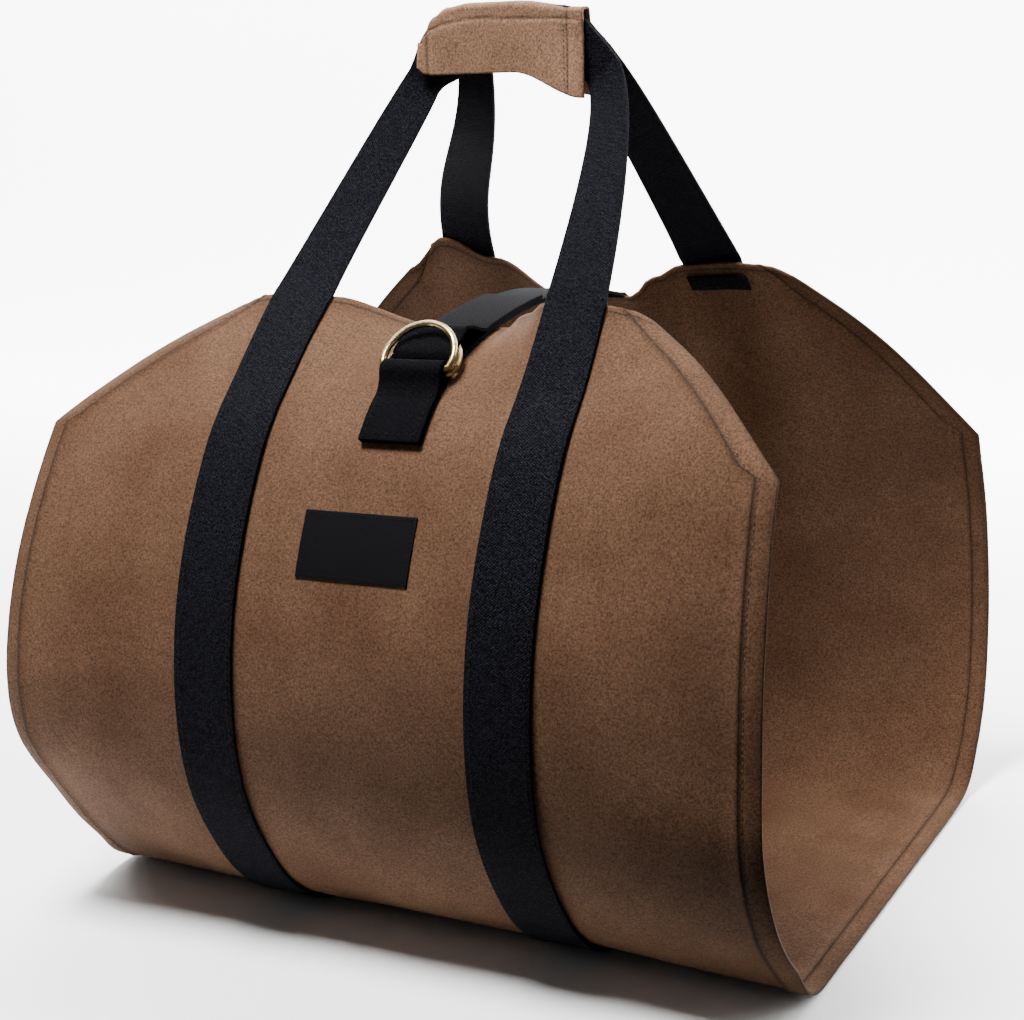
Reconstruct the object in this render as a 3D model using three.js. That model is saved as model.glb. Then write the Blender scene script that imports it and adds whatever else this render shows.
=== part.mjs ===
// A log carrier: one sheet of waxed canvas hanging in a deep U, webbing sewn round it that runs on
// into two carrying handles, a cloth grip wrapped round both handles, and a strap that closes the
// top through two D-rings. Millimetres; X along the logs, front panel towards -Y, Z up from the
// surface that the carrier stands on. The pieces are worked out from a point under the middle of
// the load, and are moved at the end so that the origin is at the bottom centre of the whole.

import * as THREE from 'three';

// Sizes of the carrier, each written once. All pieces below take their size and place from these.

const SEAT = 0.3;

const FORM = {
  halfDepth: 170,
  height: 352,
};

const CLOTH = {
  width: 463,
  cornerDrop: 94,
  plainBesideHem: 1.6,
  wall: 2,
  hem: 15,
  hemStep: 1.5,
  hemFold: 1,
  curlIn: 4,
  curlReach: 24,
  frontEdgeReach: 78,
  backEdgeReach: 72,
};

const WEBBING = {
  width: 38,
  thick: 2,
  spread: 92,
};

const GRIP = {
  length: 119,
  centreY: 51,
  centreZ: 485.5,
  yaw: -8,
  wall: 1.6,
  overhang: 1,
  squeeze: 0.92,
  leftBend: 36,
  leftSink: 22,
  rightBend: 20,
  rightSink: 9,
  rightPast: 9,
  legSpread: 0.05,
  backEntry: -22,
  foldCorner: 1.2,
};

const RING = {
  wire: 3.8,
  inside: 39.6,
  reach: 28,
  shoulderShare: 0.22,
  barShares: [-0.84, -0.42, 0, 0.42, 0.84],
  cornerAcross: 0.96,
  cornerUp: 0.2,
  lowerTilt: 3,
  upperTilt: 16,
};

// barAbove and neckBelow are counted in half widths of the fold that holds the rings.

const TAB = {
  length: 35,
  fromEdge: 60,
  barAbove: 2.2,
  neckBelow: 2.1,
  neckShare: 0.86,
};

const CLOSURE = {
  across: 7,
  sewnDown: 52,
  crown: 9,
  tail: 112,
  foldClear: 5,
  overFront: 40,
  archShares: [0, 0.2, 0.45, 0.75, 1],
  downShares: [0.4, 0.8],
};

const LABEL = {
  across: -1,
  width: 70,
  height: 37,
  thick: 0.8,
  fromEdge: 134,
};

const STEP = 15;

// The section of the loaded canvas, a row for each place where it bends, from the front top edge
// down, under the load and up to the back top edge. y is a share of the half depth and z a share
// of the height, in the middle of the carrier and at its left and right ends.

const SECTION = [
  { y: -0.276, z: 1.000, leftY: -0.235, leftZ: 1.000, rightY: -0.388, rightZ: 1.000 },
  { y: -0.482, z: 0.895, leftY: -0.447, leftZ: 0.903, rightY: -0.588, rightZ: 0.915 },
  { y: -0.688, z: 0.795, leftY: -0.659, leftZ: 0.801, rightY: -0.765, rightZ: 0.818 },
  { y: -0.912, z: 0.602, leftY: -0.929, leftZ: 0.602, rightY: -0.924, rightZ: 0.602 },
  { y: -1.000, z: 0.426, leftY: -1.047, leftZ: 0.426, rightY: -0.988, rightZ: 0.426 },
  { y: -0.988, z: 0.276, leftY: -1.035, leftZ: 0.318, rightY: -1.006, rightZ: 0.298 },
  { y: -0.894, z: 0.159, leftY: -0.894, leftZ: 0.193, rightY: -0.929, rightZ: 0.170 },
  { y: -0.765, z: 0.068, leftY: -0.753, leftZ: 0.091, rightY: -0.794, rightZ: 0.077 },
  { y: -0.588, z: 0.009, leftY: -0.588, leftZ: 0.014, rightY: -0.635, rightZ: 0.009 },
  { y: -0.353, z: 0.000, leftY: -0.353, leftZ: 0.000, rightY: -0.353, rightZ: 0.000 },
  { y: 0.118, z: 0.000, leftY: 0.118, leftZ: 0.000, rightY: 0.235, rightZ: 0.000 },
  { y: 0.588, z: 0.000, leftY: 0.588, leftZ: 0.000, rightY: 0.765, rightZ: 0.000 },
  { y: 0.841, z: 0.028, leftY: 0.871, leftZ: 0.028, rightY: 1.012, rightZ: 0.017 },
  { y: 0.971, z: 0.128, leftY: 1.024, leftZ: 0.128, rightY: 1.206, rightZ: 0.114 },
  { y: 1.012, z: 0.313, leftY: 1.082, leftZ: 0.313, rightY: 1.300, rightZ: 0.284 },
  { y: 1.012, z: 0.568, leftY: 1.082, leftZ: 0.568, rightY: 1.288, rightZ: 0.483 },
  { y: 0.971, z: 0.795, leftY: 1.012, leftZ: 0.773, rightY: 1.182, rightZ: 0.668 },
  { y: 0.894, z: 0.972, leftY: 0.882, leftZ: 0.952, rightY: 1.088, rightZ: 0.909 },
];

// Dips and peaks of the two top edges, a row for each place across the cloth, from the left end to
// the right end. across is a share of the half width; the rest are shares of the height: how far
// each edge is drawn in over the load, how far the front edge drops and the back edge rises, and
// how far the back edge leans sideways.

const EDGES = [
  { across: -1.000, frontIn: 0.000, frontDrop: 0.000, backIn: 0.000, backRise: 0.000, backLean: 0.000 },
  { across: -0.587, frontIn: 0.014, frontDrop: 0.017, backIn: 0.000, backRise: -0.015, backLean: 0.000 },
  { across: -0.480, frontIn: 0.020, frontDrop: 0.004, backIn: 0.006, backRise: 0.037, backLean: 0.000 },
  { across: -0.316, frontIn: 0.030, frontDrop: 0.008, backIn: 0.006, backRise: -0.001, backLean: 0.000 },
  { across: -0.070, frontIn: 0.077, frontDrop: 0.063, backIn: 0.028, backRise: -0.066, backLean: -0.006 },
  { across: 0.130, frontIn: 0.077, frontDrop: 0.063, backIn: 0.028, backRise: -0.066, backLean: -0.006 },
  { across: 0.210, frontIn: 0.040, frontDrop: 0.034, backIn: 0.016, backRise: -0.034, backLean: -0.020 },
  { across: 0.316, frontIn: -0.012, frontDrop: 0.004, backIn: 0.006, backRise: -0.012, backLean: -0.034 },
  { across: 0.480, frontIn: -0.026, frontDrop: 0.004, backIn: 0.006, backRise: -0.006, backLean: -0.032 },
  { across: 0.540, frontIn: -0.020, frontDrop: 0.012, backIn: 0.000, backRise: -0.009, backLean: -0.024 },
  { across: 0.600, frontIn: -0.017, frontDrop: 0.022, backIn: 0.000, backRise: -0.020, backLean: -0.014 },
  { across: 1.000, frontIn: 0.000, frontDrop: 0.000, backIn: 0.000, backRise: 0.000, backLean: 0.000 },
];

// The outline of the grip's cloth, a row for each place along it. along is a share of half its
// length; the rest are shares of the webbing's width: how far the top fold and the loose lower
// edge drop, and how far the lower edge flares out.

const GRIP_OUTLINE = [
  { along: -1.00, topDrop: 0.370, footDrop: 0.060, flare: 0.060 },
  { along: -0.82, topDrop: 0.150, footDrop: 0.000, flare: 0.020 },
  { along: -0.64, topDrop: 0.040, footDrop: 0.000, flare: 0.000 },
  { along: -0.40, topDrop: 0.000, footDrop: 0.000, flare: 0.000 },
  { along: 0.20, topDrop: 0.000, footDrop: 0.000, flare: 0.000 },
  { along: 0.62, topDrop: 0.020, footDrop: 0.100, flare: 0.010 },
  { along: 0.86, topDrop: 0.060, footDrop: 0.220, flare: 0.060 },
  { along: 1.00, topDrop: 0.120, footDrop: 0.300, flare: 0.120 },
];

// The four legs of the handles, from the panel up to the grip. rise and lead say how far the leg
// holds its direction out of the panel and into the grip, as shares of its length, and twist turns
// its face along the way, in degrees.

const LEGS = {
  frontLeft: { rise: 0.30, lead: 0.12, twist: -26 },
  frontRight: { rise: 0.30, lead: 0.14, twist: -34 },
  backLeft: { rise: 0.30, lead: 0.30, twist: -36 },
  backRight: { rise: 0.12, lead: 0.10, twist: -30 },
};

// Where along a leg, as shares of it, its face turns, turns back and settles to the grip's, and
// where it narrows. Its steps crowd towards the grip, and the slope of the panel's edge soon fades.

const LEG_TURN = {
  steps: 16,
  crowd: 1.3,
  turnedBy: 0.5,
  backFrom: 0.6,
  backOver: 0.24,
  settleFrom: 0.4,
  settleOver: 0.44,
  narrowFrom: 0.6,
  slopeOver: 0.25,
};

const UP = new THREE.Vector3(0, 0, 1);

// Sizes that follow from the ones above.

const strapHalf = WEBBING.width / 2;
const strapOuter = WEBBING.spread + strapHalf;
const clothHalf = CLOTH.width / 2;
const floorLift = WEBBING.thick + SEAT;

// Small helpers for tables and curves.

function smooth(share) {
  const t = THREE.MathUtils.clamp(share, 0, 1);
  return t * t * (3 - 2 * t);
}

function readTable(rows, key, at, column) {
  const last = rows.length - 1;
  if (at <= rows[0][key]) return rows[0][column];
  if (at >= rows[last][key]) return rows[last][column];
  const next = rows.findIndex((row) => row[key] > at);
  const low = rows[next - 1];
  const high = rows[next];
  const share = smooth((at - low[key]) / (high[key] - low[key]));
  return low[column] + (high[column] - low[column]) * share;
}

function stations(keys, step) {
  const sorted = [...keys].sort((a, b) => a - b);
  const out = [sorted[0]];
  for (let i = 1; i < sorted.length; i += 1) {
    const span = sorted[i] - sorted[i - 1];
    const count = Math.max(1, Math.ceil(span / step));
    for (let k = 1; k <= count; k += 1) out.push(sorted[i - 1] + (span * k) / count);
  }
  return out;
}

// Canvas surface: a point on its outer face, from the distance along the section and the distance
// across the cloth.

function sectionCurve(yColumn, zColumn) {
  const points = SECTION.map(
    (row) => new THREE.Vector3(0, row[yColumn] * FORM.halfDepth, row[zColumn] * FORM.height),
  );
  const curve = new THREE.CatmullRomCurve3(points, false, 'centripetal');
  curve.arcLengthDivisions = 800;
  return curve;
}

const middleCurve = sectionCurve('y', 'z');
const leftCurve = sectionCurve('leftY', 'leftZ');
const rightCurve = sectionCurve('rightY', 'rightZ');
const clothLength = middleCurve.getLength();

const hemSlant = Math.SQRT2;
const hemLine = CLOTH.hem + CLOTH.hemStep;
const topHalf = strapOuter + hemLine * hemSlant + CLOTH.plainBesideHem;

function halfWidthAt(along) {
  const fromEdge = Math.min(along, clothLength - along);
  const share = THREE.MathUtils.clamp(fromEdge / CLOTH.cornerDrop, 0, 1);
  return topHalf + (clothHalf - topHalf) * share;
}

function bareCloth(along, across) {
  const share = THREE.MathUtils.clamp(along / clothLength, 0, 1);
  const point = middleCurve.getPointAt(share);
  const end = across < 0 ? leftCurve : rightCurve;
  const endWeight = smooth((Math.abs(across) - WEBBING.spread) / (clothHalf - WEBBING.spread));
  if (endWeight > 0) point.lerp(end.getPointAt(share), endWeight);
  const atAcross = across / clothHalf;
  const nearFront = Math.max(0, 1 - along / CLOTH.frontEdgeReach) ** 2;
  const nearBack = Math.max(0, 1 - (clothLength - along) / CLOTH.backEdgeReach) ** 2;
  if (nearFront > 0) {
    point.y += nearFront * FORM.height * readTable(EDGES, 'across', atAcross, 'frontIn');
    point.z -= nearFront * FORM.height * readTable(EDGES, 'across', atAcross, 'frontDrop');
  }
  if (nearBack > 0) {
    point.y -= nearBack * FORM.height * readTable(EDGES, 'across', atAcross, 'backIn');
    point.z += nearBack * FORM.height * readTable(EDGES, 'across', atAcross, 'backRise');
    point.x = nearBack * FORM.height * readTable(EDGES, 'across', atAcross, 'backLean');
  }
  point.x += across;
  point.z = Math.max(0, point.z) + floorLift;
  return point;
}

function outwardNormal(surface, along, across) {
  const low = Math.max(0, along - 1);
  const high = Math.min(clothLength, along + 1);
  const down = surface(high, across).sub(surface(low, across));
  const side = surface(along, across + 1).sub(surface(along, across - 1));
  return down.cross(side).normalize();
}

function cloth(along, across) {
  const point = bareCloth(along, across);
  const fromSide = halfWidthAt(along) - Math.abs(across);
  const curl = Math.max(0, 1 - fromSide / CLOTH.curlReach) ** 2;
  const onFloor = smooth((point.z - floorLift) / CLOTH.curlReach);
  if (curl > 0) {
    point.addScaledVector(outwardNormal(bareCloth, along, across), -CLOTH.curlIn * curl * onFloor);
  }
  return point;
}

function clothNormal(along, across) {
  return outwardNormal(cloth, along, across);
}

// Solids: a slab between two grids of points, and a closed round wire.

function solid(positions, faces) {
  const geometry = new THREE.BufferGeometry();
  geometry.setAttribute('position', new THREE.Float32BufferAttribute(positions, 3));
  geometry.setIndex(faces);
  geometry.computeVertexNormals();
  return geometry;
}

function slab(outer, inner) {
  const rows = outer.length;
  const cols = outer[0].length;
  const positions = [];
  for (const grid of [outer, inner]) {
    for (const row of grid) {
      for (const point of row) positions.push(point.x, point.y, point.z);
    }
  }
  const at = (layer, row, col) => layer * rows * cols + row * cols + col;
  const faces = [];
  const quad = (a, b, c, d) => faces.push(a, b, c, a, c, d);
  for (let r = 0; r < rows - 1; r += 1) {
    for (let c = 0; c < cols - 1; c += 1) {
      quad(at(0, r, c), at(0, r + 1, c), at(0, r + 1, c + 1), at(0, r, c + 1));
      quad(at(1, r, c), at(1, r, c + 1), at(1, r + 1, c + 1), at(1, r + 1, c));
    }
  }
  for (let r = 0; r < rows - 1; r += 1) {
    quad(at(0, r, 0), at(1, r, 0), at(1, r + 1, 0), at(0, r + 1, 0));
    quad(at(0, r + 1, cols - 1), at(1, r + 1, cols - 1), at(1, r, cols - 1), at(0, r, cols - 1));
  }
  for (let c = 0; c < cols - 1; c += 1) {
    quad(at(0, 0, c + 1), at(1, 0, c + 1), at(1, 0, c), at(0, 0, c));
    quad(at(0, rows - 1, c), at(1, rows - 1, c), at(1, rows - 1, c + 1), at(0, rows - 1, c + 1));
  }
  return solid(positions, faces);
}

function closedWire(points, radius, sides) {
  const count = points.length;
  const middle = points.reduce((sum, p) => sum.add(p), new THREE.Vector3()).divideScalar(count);
  const across = points[0].clone().sub(middle);
  const plane = across.cross(points[1].clone().sub(middle)).normalize();
  const positions = [];
  const faces = [];
  points.forEach((point, i) => {
    const before = points[(i + count - 1) % count];
    const after = points[(i + 1) % count];
    const out = after.clone().sub(before).normalize().cross(plane);
    for (let k = 0; k < sides; k += 1) {
      const angle = (2 * Math.PI * k) / sides;
      const rim = point.clone();
      rim.addScaledVector(out, radius * Math.cos(angle));
      rim.addScaledVector(plane, radius * Math.sin(angle));
      positions.push(rim.x, rim.y, rim.z);
      const a = i * sides + k;
      const b = i * sides + ((k + 1) % sides);
      const c = ((i + 1) % count) * sides + ((k + 1) % sides);
      const d = ((i + 1) % count) * sides + k;
      faces.push(a, c, b, a, d, c);
    }
  });
  return solid(positions, faces);
}

function band(steps, width, thick) {
  const outer = [];
  const inner = [];
  for (const { centre, across, face, stretch = 1 } of steps) {
    const reach = (width / 2) * stretch;
    const row = [-reach, reach].map((side) => centre.clone().addScaledVector(across, side));
    outer.push(row.map((point) => point.clone().addScaledVector(face, thick / 2)));
    inner.push(row.map((point) => point.clone().addScaledVector(face, -thick / 2)));
  }
  return slab(outer, inner);
}

// Canvas: one sheet with its four corners cut off and a folded hem all round.

const clothRows = stations(
  [
    0,
    CLOTH.hem,
    hemLine,
    CLOTH.cornerDrop,
    clothLength - CLOTH.cornerDrop,
    clothLength - hemLine,
    clothLength - CLOTH.hem,
    clothLength,
  ],
  STEP,
);

function clothColumns(along) {
  const half = halfWidthAt(along);
  const inCut = half < clothHalf;
  const slant = inCut ? hemSlant : 1;
  const fold = half - CLOTH.hem * slant;
  const foot = half - hemLine * slant;
  const beside = (foot + strapOuter) / 2;
  const strapInner = WEBBING.spread - strapHalf;
  const between = (strapInner + CLOSURE.across + strapHalf) / 2;
  const side = [half, fold, foot, beside, strapOuter, WEBBING.spread, strapInner, between];
  const mirrored = side.map((value) => -value);
  const middle = [-strapHalf, 0, strapHalf].map((offset) => CLOSURE.across + offset);
  return [...mirrored, ...middle, ...side.reverse()];
}

function clothWallAt(along, across) {
  const fromTop = Math.min(along, clothLength - along);
  const half = halfWidthAt(along);
  const slant = half < clothHalf ? hemSlant : 1;
  const fromSide = (half - Math.abs(across)) / slant;
  const fromEdge = Math.min(fromTop, fromSide);
  const folded = fromEdge < CLOTH.hem + CLOTH.hemStep / 2;
  return CLOTH.wall + (folded ? CLOTH.hemFold : 0);
}

function canvasGeometry() {
  const outer = [];
  const inner = [];
  for (const along of clothRows) {
    const outerRow = clothColumns(along).map((across) => cloth(along, across));
    const innerRow = clothColumns(along).map((across, i) => {
      const depth = clothWallAt(along, across);
      return outerRow[i].clone().addScaledVector(clothNormal(along, across), -depth);
    });
    outer.push(outerRow);
    inner.push(innerRow);
  }
  return slab(outer, inner);
}

// A piece that lies flat on the outside of the cloth, such as the sewn webbing or the label.

function laidOn(rows, columns, thick) {
  const outer = [];
  const inner = [];
  for (const along of rows) {
    const normals = columns.map((across) => clothNormal(along, across));
    const line = columns.map((across) => cloth(along, across));
    inner.push(line.map((point, i) => point.clone().addScaledVector(normals[i], SEAT)));
    outer.push(line.map((point, i) => point.clone().addScaledVector(normals[i], SEAT + thick)));
  }
  return slab(outer, inner);
}

// Webbing sewn round the canvas, from one top edge under the load to the other.

function strapGeometry(side) {
  const centre = side * WEBBING.spread;
  const columns = [centre - strapHalf, centre, centre + strapHalf];
  return laidOn(clothRows, columns, WEBBING.thick);
}

// Grip: where the webbing runs inside it, and the cloth folded down over both webbings.

const gripAxis = new THREE.Vector3(1, 0, 0).applyAxisAngle(UP, THREE.MathUtils.degToRad(GRIP.yaw));
const gripFront = gripAxis.clone().cross(UP);
const gripHalf = GRIP.length / 2;
const squeezedHalf = strapHalf * GRIP.squeeze;
const webbingApart = (WEBBING.thick + SEAT) / 2;

function gripPoint(along) {
  const bend = along < 0 ? GRIP.leftBend : GRIP.rightBend;
  const sink = along < 0 ? GRIP.leftSink : GRIP.rightSink;
  const past = Math.max(0, Math.abs(along) - (gripHalf - bend)) / bend;
  const point = new THREE.Vector3(0, GRIP.centreY, GRIP.centreZ - sink * past ** 2);
  return point.addScaledVector(gripAxis, along);
}

function gripFrame(along) {
  const tangent = gripPoint(along + 1).sub(gripPoint(along - 1)).normalize();
  const high = gripFront.clone().cross(tangent);
  return { centre: gripPoint(along), tangent, high };
}

function gripSectionLine() {
  const side = WEBBING.thick + SEAT * 1.5 + GRIP.wall / 2;
  const foot = -squeezedHalf - GRIP.overhang;
  const points = [];
  for (const share of [1, 0.66, 0.33, 0]) points.push([-side, foot * share]);
  for (let turn = 180; turn >= 0; turn -= 30) {
    const angle = THREE.MathUtils.degToRad(turn);
    points.push([side * Math.cos(angle), squeezedHalf + side * Math.sin(angle)]);
  }
  for (const share of [0, 0.33, 0.66, 1]) points.push([side, foot * share]);
  return points;
}

function gripCloth(along, aside, above) {
  const outline = (column) => readTable(GRIP_OUTLINE, 'along', along / gripHalf, column) * WEBBING.width;
  const low = THREE.MathUtils.clamp(-above / squeezedHalf, 0, 1);
  const drop = above < 0 ? outline('footDrop') * low : outline('topDrop') * (above / squeezedHalf);
  const point = new THREE.Vector3(0, GRIP.centreY, GRIP.centreZ + above - drop);
  point.addScaledVector(gripFront, aside + Math.sign(aside) * outline('flare') * low);
  return point.addScaledVector(gripAxis, along);
}

function gripGeometry() {
  const line = gripSectionLine();
  const places = stations([-gripHalf, gripHalf], GRIP.length / 14);
  const outer = [];
  const inner = [];
  line.forEach(([out, up], i) => {
    const before = line[Math.max(0, i - 1)];
    const after = line[Math.min(line.length - 1, i + 1)];
    const run = new THREE.Vector2(after[0] - before[0], after[1] - before[1]).normalize();
    for (const [rows, face] of [[outer, 1], [inner, -1]]) {
      const aside = out - (face * run.y * GRIP.wall) / 2;
      const above = up + (face * run.x * GRIP.wall) / 2;
      rows.push(places.map((along) => gripCloth(along, aside, above)));
    }
  });
  return slab(outer, inner);
}

// Handles: each is one webbing from the left strap up, through the grip and down to the right.
// A leg runs from the end of its strap to a place in the grip, and turns its face on the way.

function legSteps(side, panel, end) {
  const shape = LEGS[panel + (side < 0 ? 'Left' : 'Right')];
  const along = panel === 'front' ? 0 : clothLength;
  const inward = panel === 'front' ? 1 : -1;
  const across = side * WEBBING.spread;
  const middle = cloth(along, across);
  const rising = middle.clone().sub(cloth(along + inward * 2, across)).normalize();
  const outerSide = cloth(along, across + side * strapHalf);
  const innerSide = cloth(along, across - side * strapHalf);
  const edge = outerSide.clone().sub(innerSide).divideScalar(WEBBING.width);
  const start = outerSide.clone().add(innerSide).divideScalar(2);
  const bulge = Math.max(0, middle.clone().sub(start).dot(rising));
  start.addScaledVector(clothNormal(along, across), SEAT + WEBBING.thick / 2);
  start.addScaledVector(rising, SEAT + bulge);
  const slope = edge.dot(rising) / edge.clone().addScaledVector(rising, -edge.dot(rising)).length();

  const reach = start.distanceTo(end.centre);
  const curve = new THREE.CubicBezierCurve3(
    start,
    start.clone().addScaledVector(rising, shape.rise * reach),
    end.centre.clone().addScaledVector(end.leaving, shape.lead * reach),
    end.centre,
  );
  const steps = [];
  let width = edge;
  for (let i = 0; i <= LEG_TURN.steps; i += 1) {
    const share = 1 - (1 - i / LEG_TURN.steps) ** LEG_TURN.crowd;
    const tangent = curve.getTangent(share);
    width = width.clone().addScaledVector(tangent, -width.dot(tangent)).normalize();
    steps.push({ centre: curve.getPoint(share), tangent, width, share });
  }
  const last = steps[LEG_TURN.steps];
  const target = end.width.clone().addScaledVector(last.tangent, -end.width.dot(last.tangent));
  const sine = last.width.clone().cross(target).dot(last.tangent);
  const settle = Math.atan2(sine, last.width.dot(target));
  const twist = THREE.MathUtils.degToRad(shape.twist);
  for (const step of steps) {
    const past = (from, over) => smooth((step.share - from) / over);
    const turned = twist * past(0, LEG_TURN.turnedBy) * (1 - past(LEG_TURN.backFrom, LEG_TURN.backOver));
    const settled = settle * past(LEG_TURN.settleFrom, LEG_TURN.settleOver);
    step.width.applyAxisAngle(step.tangent, turned + settled);
    step.width.addScaledVector(step.tangent, slope * (1 - past(0, LEG_TURN.slopeOver)));
    step.stretch = 1 - (1 - GRIP.squeeze) * past(LEG_TURN.narrowFrom, 1 - LEG_TURN.narrowFrom);
  }
  return steps;
}

function gripEnd(side, offset) {
  const { centre, tangent, high } = gripFrame(side < 0 ? -gripHalf : gripHalf + GRIP.rightPast);
  const leaving = tangent.clone().multiplyScalar(side);
  leaving.addScaledVector(gripFront, GRIP.legSpread * Math.sign(offset)).normalize();
  return { centre: centre.addScaledVector(gripFront, offset), leaving, width: high };
}

function gripRun(from, to, offset) {
  return stations([from, to], GRIP.length / 16).map((along) => {
    const { centre, tangent, high } = gripFrame(along);
    return {
      centre: centre.addScaledVector(gripFront, offset),
      tangent,
      width: high,
      stretch: GRIP.squeeze,
    };
  });
}

function handleBand(left, inside, right) {
  const falling = right.reverse();
  falling.forEach((step) => step.tangent.negate());
  const steps = [...left, ...inside, ...falling].map(({ centre, tangent, width, stretch }) => ({
    centre,
    across: width,
    face: tangent.clone().cross(width).normalize(),
    stretch,
  }));
  return band(steps, WEBBING.width, WEBBING.thick);
}

function frontHandleGeometry() {
  const left = legSteps(-1, 'front', gripEnd(-1, webbingApart));
  const right = legSteps(1, 'front', gripEnd(1, webbingApart));
  const run = gripRun(-gripHalf, gripHalf + GRIP.rightPast, webbingApart);
  return handleBand(left, run.slice(1, -1), right);
}

// The back webbing comes up between the flaps of the grip and is folded over to run along it.

function backHandleGeometry() {
  const centre = gripPoint(GRIP.backEntry).addScaledVector(gripFront, -webbingApart);
  const outwards = gripAxis.clone().negate();
  const entry = centre.clone().addScaledVector(UP, -squeezedHalf - SEAT);
  const left = legSteps(-1, 'back', { centre: entry, leaving: UP.clone().negate(), width: outwards });
  const right = legSteps(1, 'back', gripEnd(1, -webbingApart));
  const corner = {
    centre,
    tangent: gripAxis.clone().add(UP).normalize(),
    width: outwards.clone().add(UP).normalize(),
    stretch: GRIP.squeeze * GRIP.foldCorner,
  };
  const start = GRIP.backEntry + squeezedHalf + SEAT;
  const run = gripRun(start, gripHalf + GRIP.rightPast, -webbingApart);
  return handleBand(left, [corner, ...run.slice(0, -1)], right);
}

// Closure: a tab sewn to the front holds two D-rings, and a strap from the back runs through them.
// rise is measured from the top of the tab up along the cloth and out is measured away from it.

const tabTop = cloth(TAB.fromEdge, CLOSURE.across);
const tabNormal = clothNormal(TAB.fromEdge, CLOSURE.across);
const tabRise = cloth(TAB.fromEdge - 2, CLOSURE.across).sub(tabTop).normalize();
const acrossX = new THREE.Vector3(1, 0, 0);
const wireRadius = RING.wire / 2;
const layer = WEBBING.thick + SEAT;
const underOut = SEAT + WEBBING.thick / 2;
const foldWide = wireRadius + SEAT * 4 + WEBBING.thick / 2;
const barRise = foldWide * TAB.barAbove;
const lowerBarOut = layer + SEAT + wireRadius;
const upperBarOut = lowerBarOut + RING.wire + SEAT;

function closurePoint(rise, out) {
  return tabTop.clone().addScaledVector(tabRise, rise).addScaledVector(tabNormal, out);
}

function ringGeometry(barOut, tilt) {
  const lean = THREE.MathUtils.degToRad(tilt);
  const up = tabRise.clone().multiplyScalar(Math.cos(lean)).addScaledVector(tabNormal, Math.sin(lean));
  const half = RING.inside / 2 + wireRadius;
  const shoulder = RING.reach * RING.shoulderShare;
  const flat = RING.barShares.map((share) => [share * half, 0]);
  flat.push([half * RING.cornerAcross, shoulder * RING.cornerUp]);
  for (let turn = 0; turn <= 180; turn += 15) {
    const angle = THREE.MathUtils.degToRad(turn);
    flat.push([half * Math.cos(angle), shoulder + (RING.reach - shoulder) * Math.sin(angle)]);
  }
  flat.push([-half * RING.cornerAcross, shoulder * RING.cornerUp]);
  const bar = closurePoint(barRise, barOut);
  const points = flat.map(([x, y]) => bar.clone().addScaledVector(acrossX, x).addScaledVector(up, y));
  return closedWire(points, wireRadius, 8);
}

function stepsAlong(points) {
  return points.map((point, i) => {
    const before = points[Math.max(0, i - 1)];
    const after = points[Math.min(points.length - 1, i + 1)];
    const run = after.clone().sub(before).normalize();
    return { centre: point, across: acrossX, face: run.clone().cross(acrossX).normalize() };
  });
}

function tabGeometry() {
  const overOut = underOut + layer;
  const sewn = stations([TAB.fromEdge, TAB.fromEdge + TAB.length], STEP / 2);
  const offCloth = (along, out) =>
    cloth(along, CLOSURE.across).addScaledVector(clothNormal(along, CLOSURE.across), out);
  const points = [...sewn].reverse().map((along) => offCloth(along, underOut));
  const foldMiddle = (lowerBarOut + upperBarOut) / 2 + SEAT;
  const foldTall = foldMiddle - underOut;
  for (let turn = -90; turn <= 90; turn += 22.5) {
    const angle = THREE.MathUtils.degToRad(turn);
    const rise = barRise + foldWide * Math.cos(angle);
    points.push(closurePoint(rise, foldMiddle + foldTall * Math.sin(angle)));
  }
  points.push(closurePoint(barRise - foldWide, foldMiddle + foldTall * TAB.neckShare));
  points.push(closurePoint(barRise - foldWide * TAB.neckBelow, foldMiddle));
  for (const along of sewn.slice(1)) points.push(offCloth(along, overOut));
  return band(stepsAlong(points), WEBBING.width, WEBBING.thick);
}

// The strap is sewn to the back, bends over the back edge, crosses the load, passes under and up
// through both rings, and its tail comes back between them and lies along it.

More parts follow.
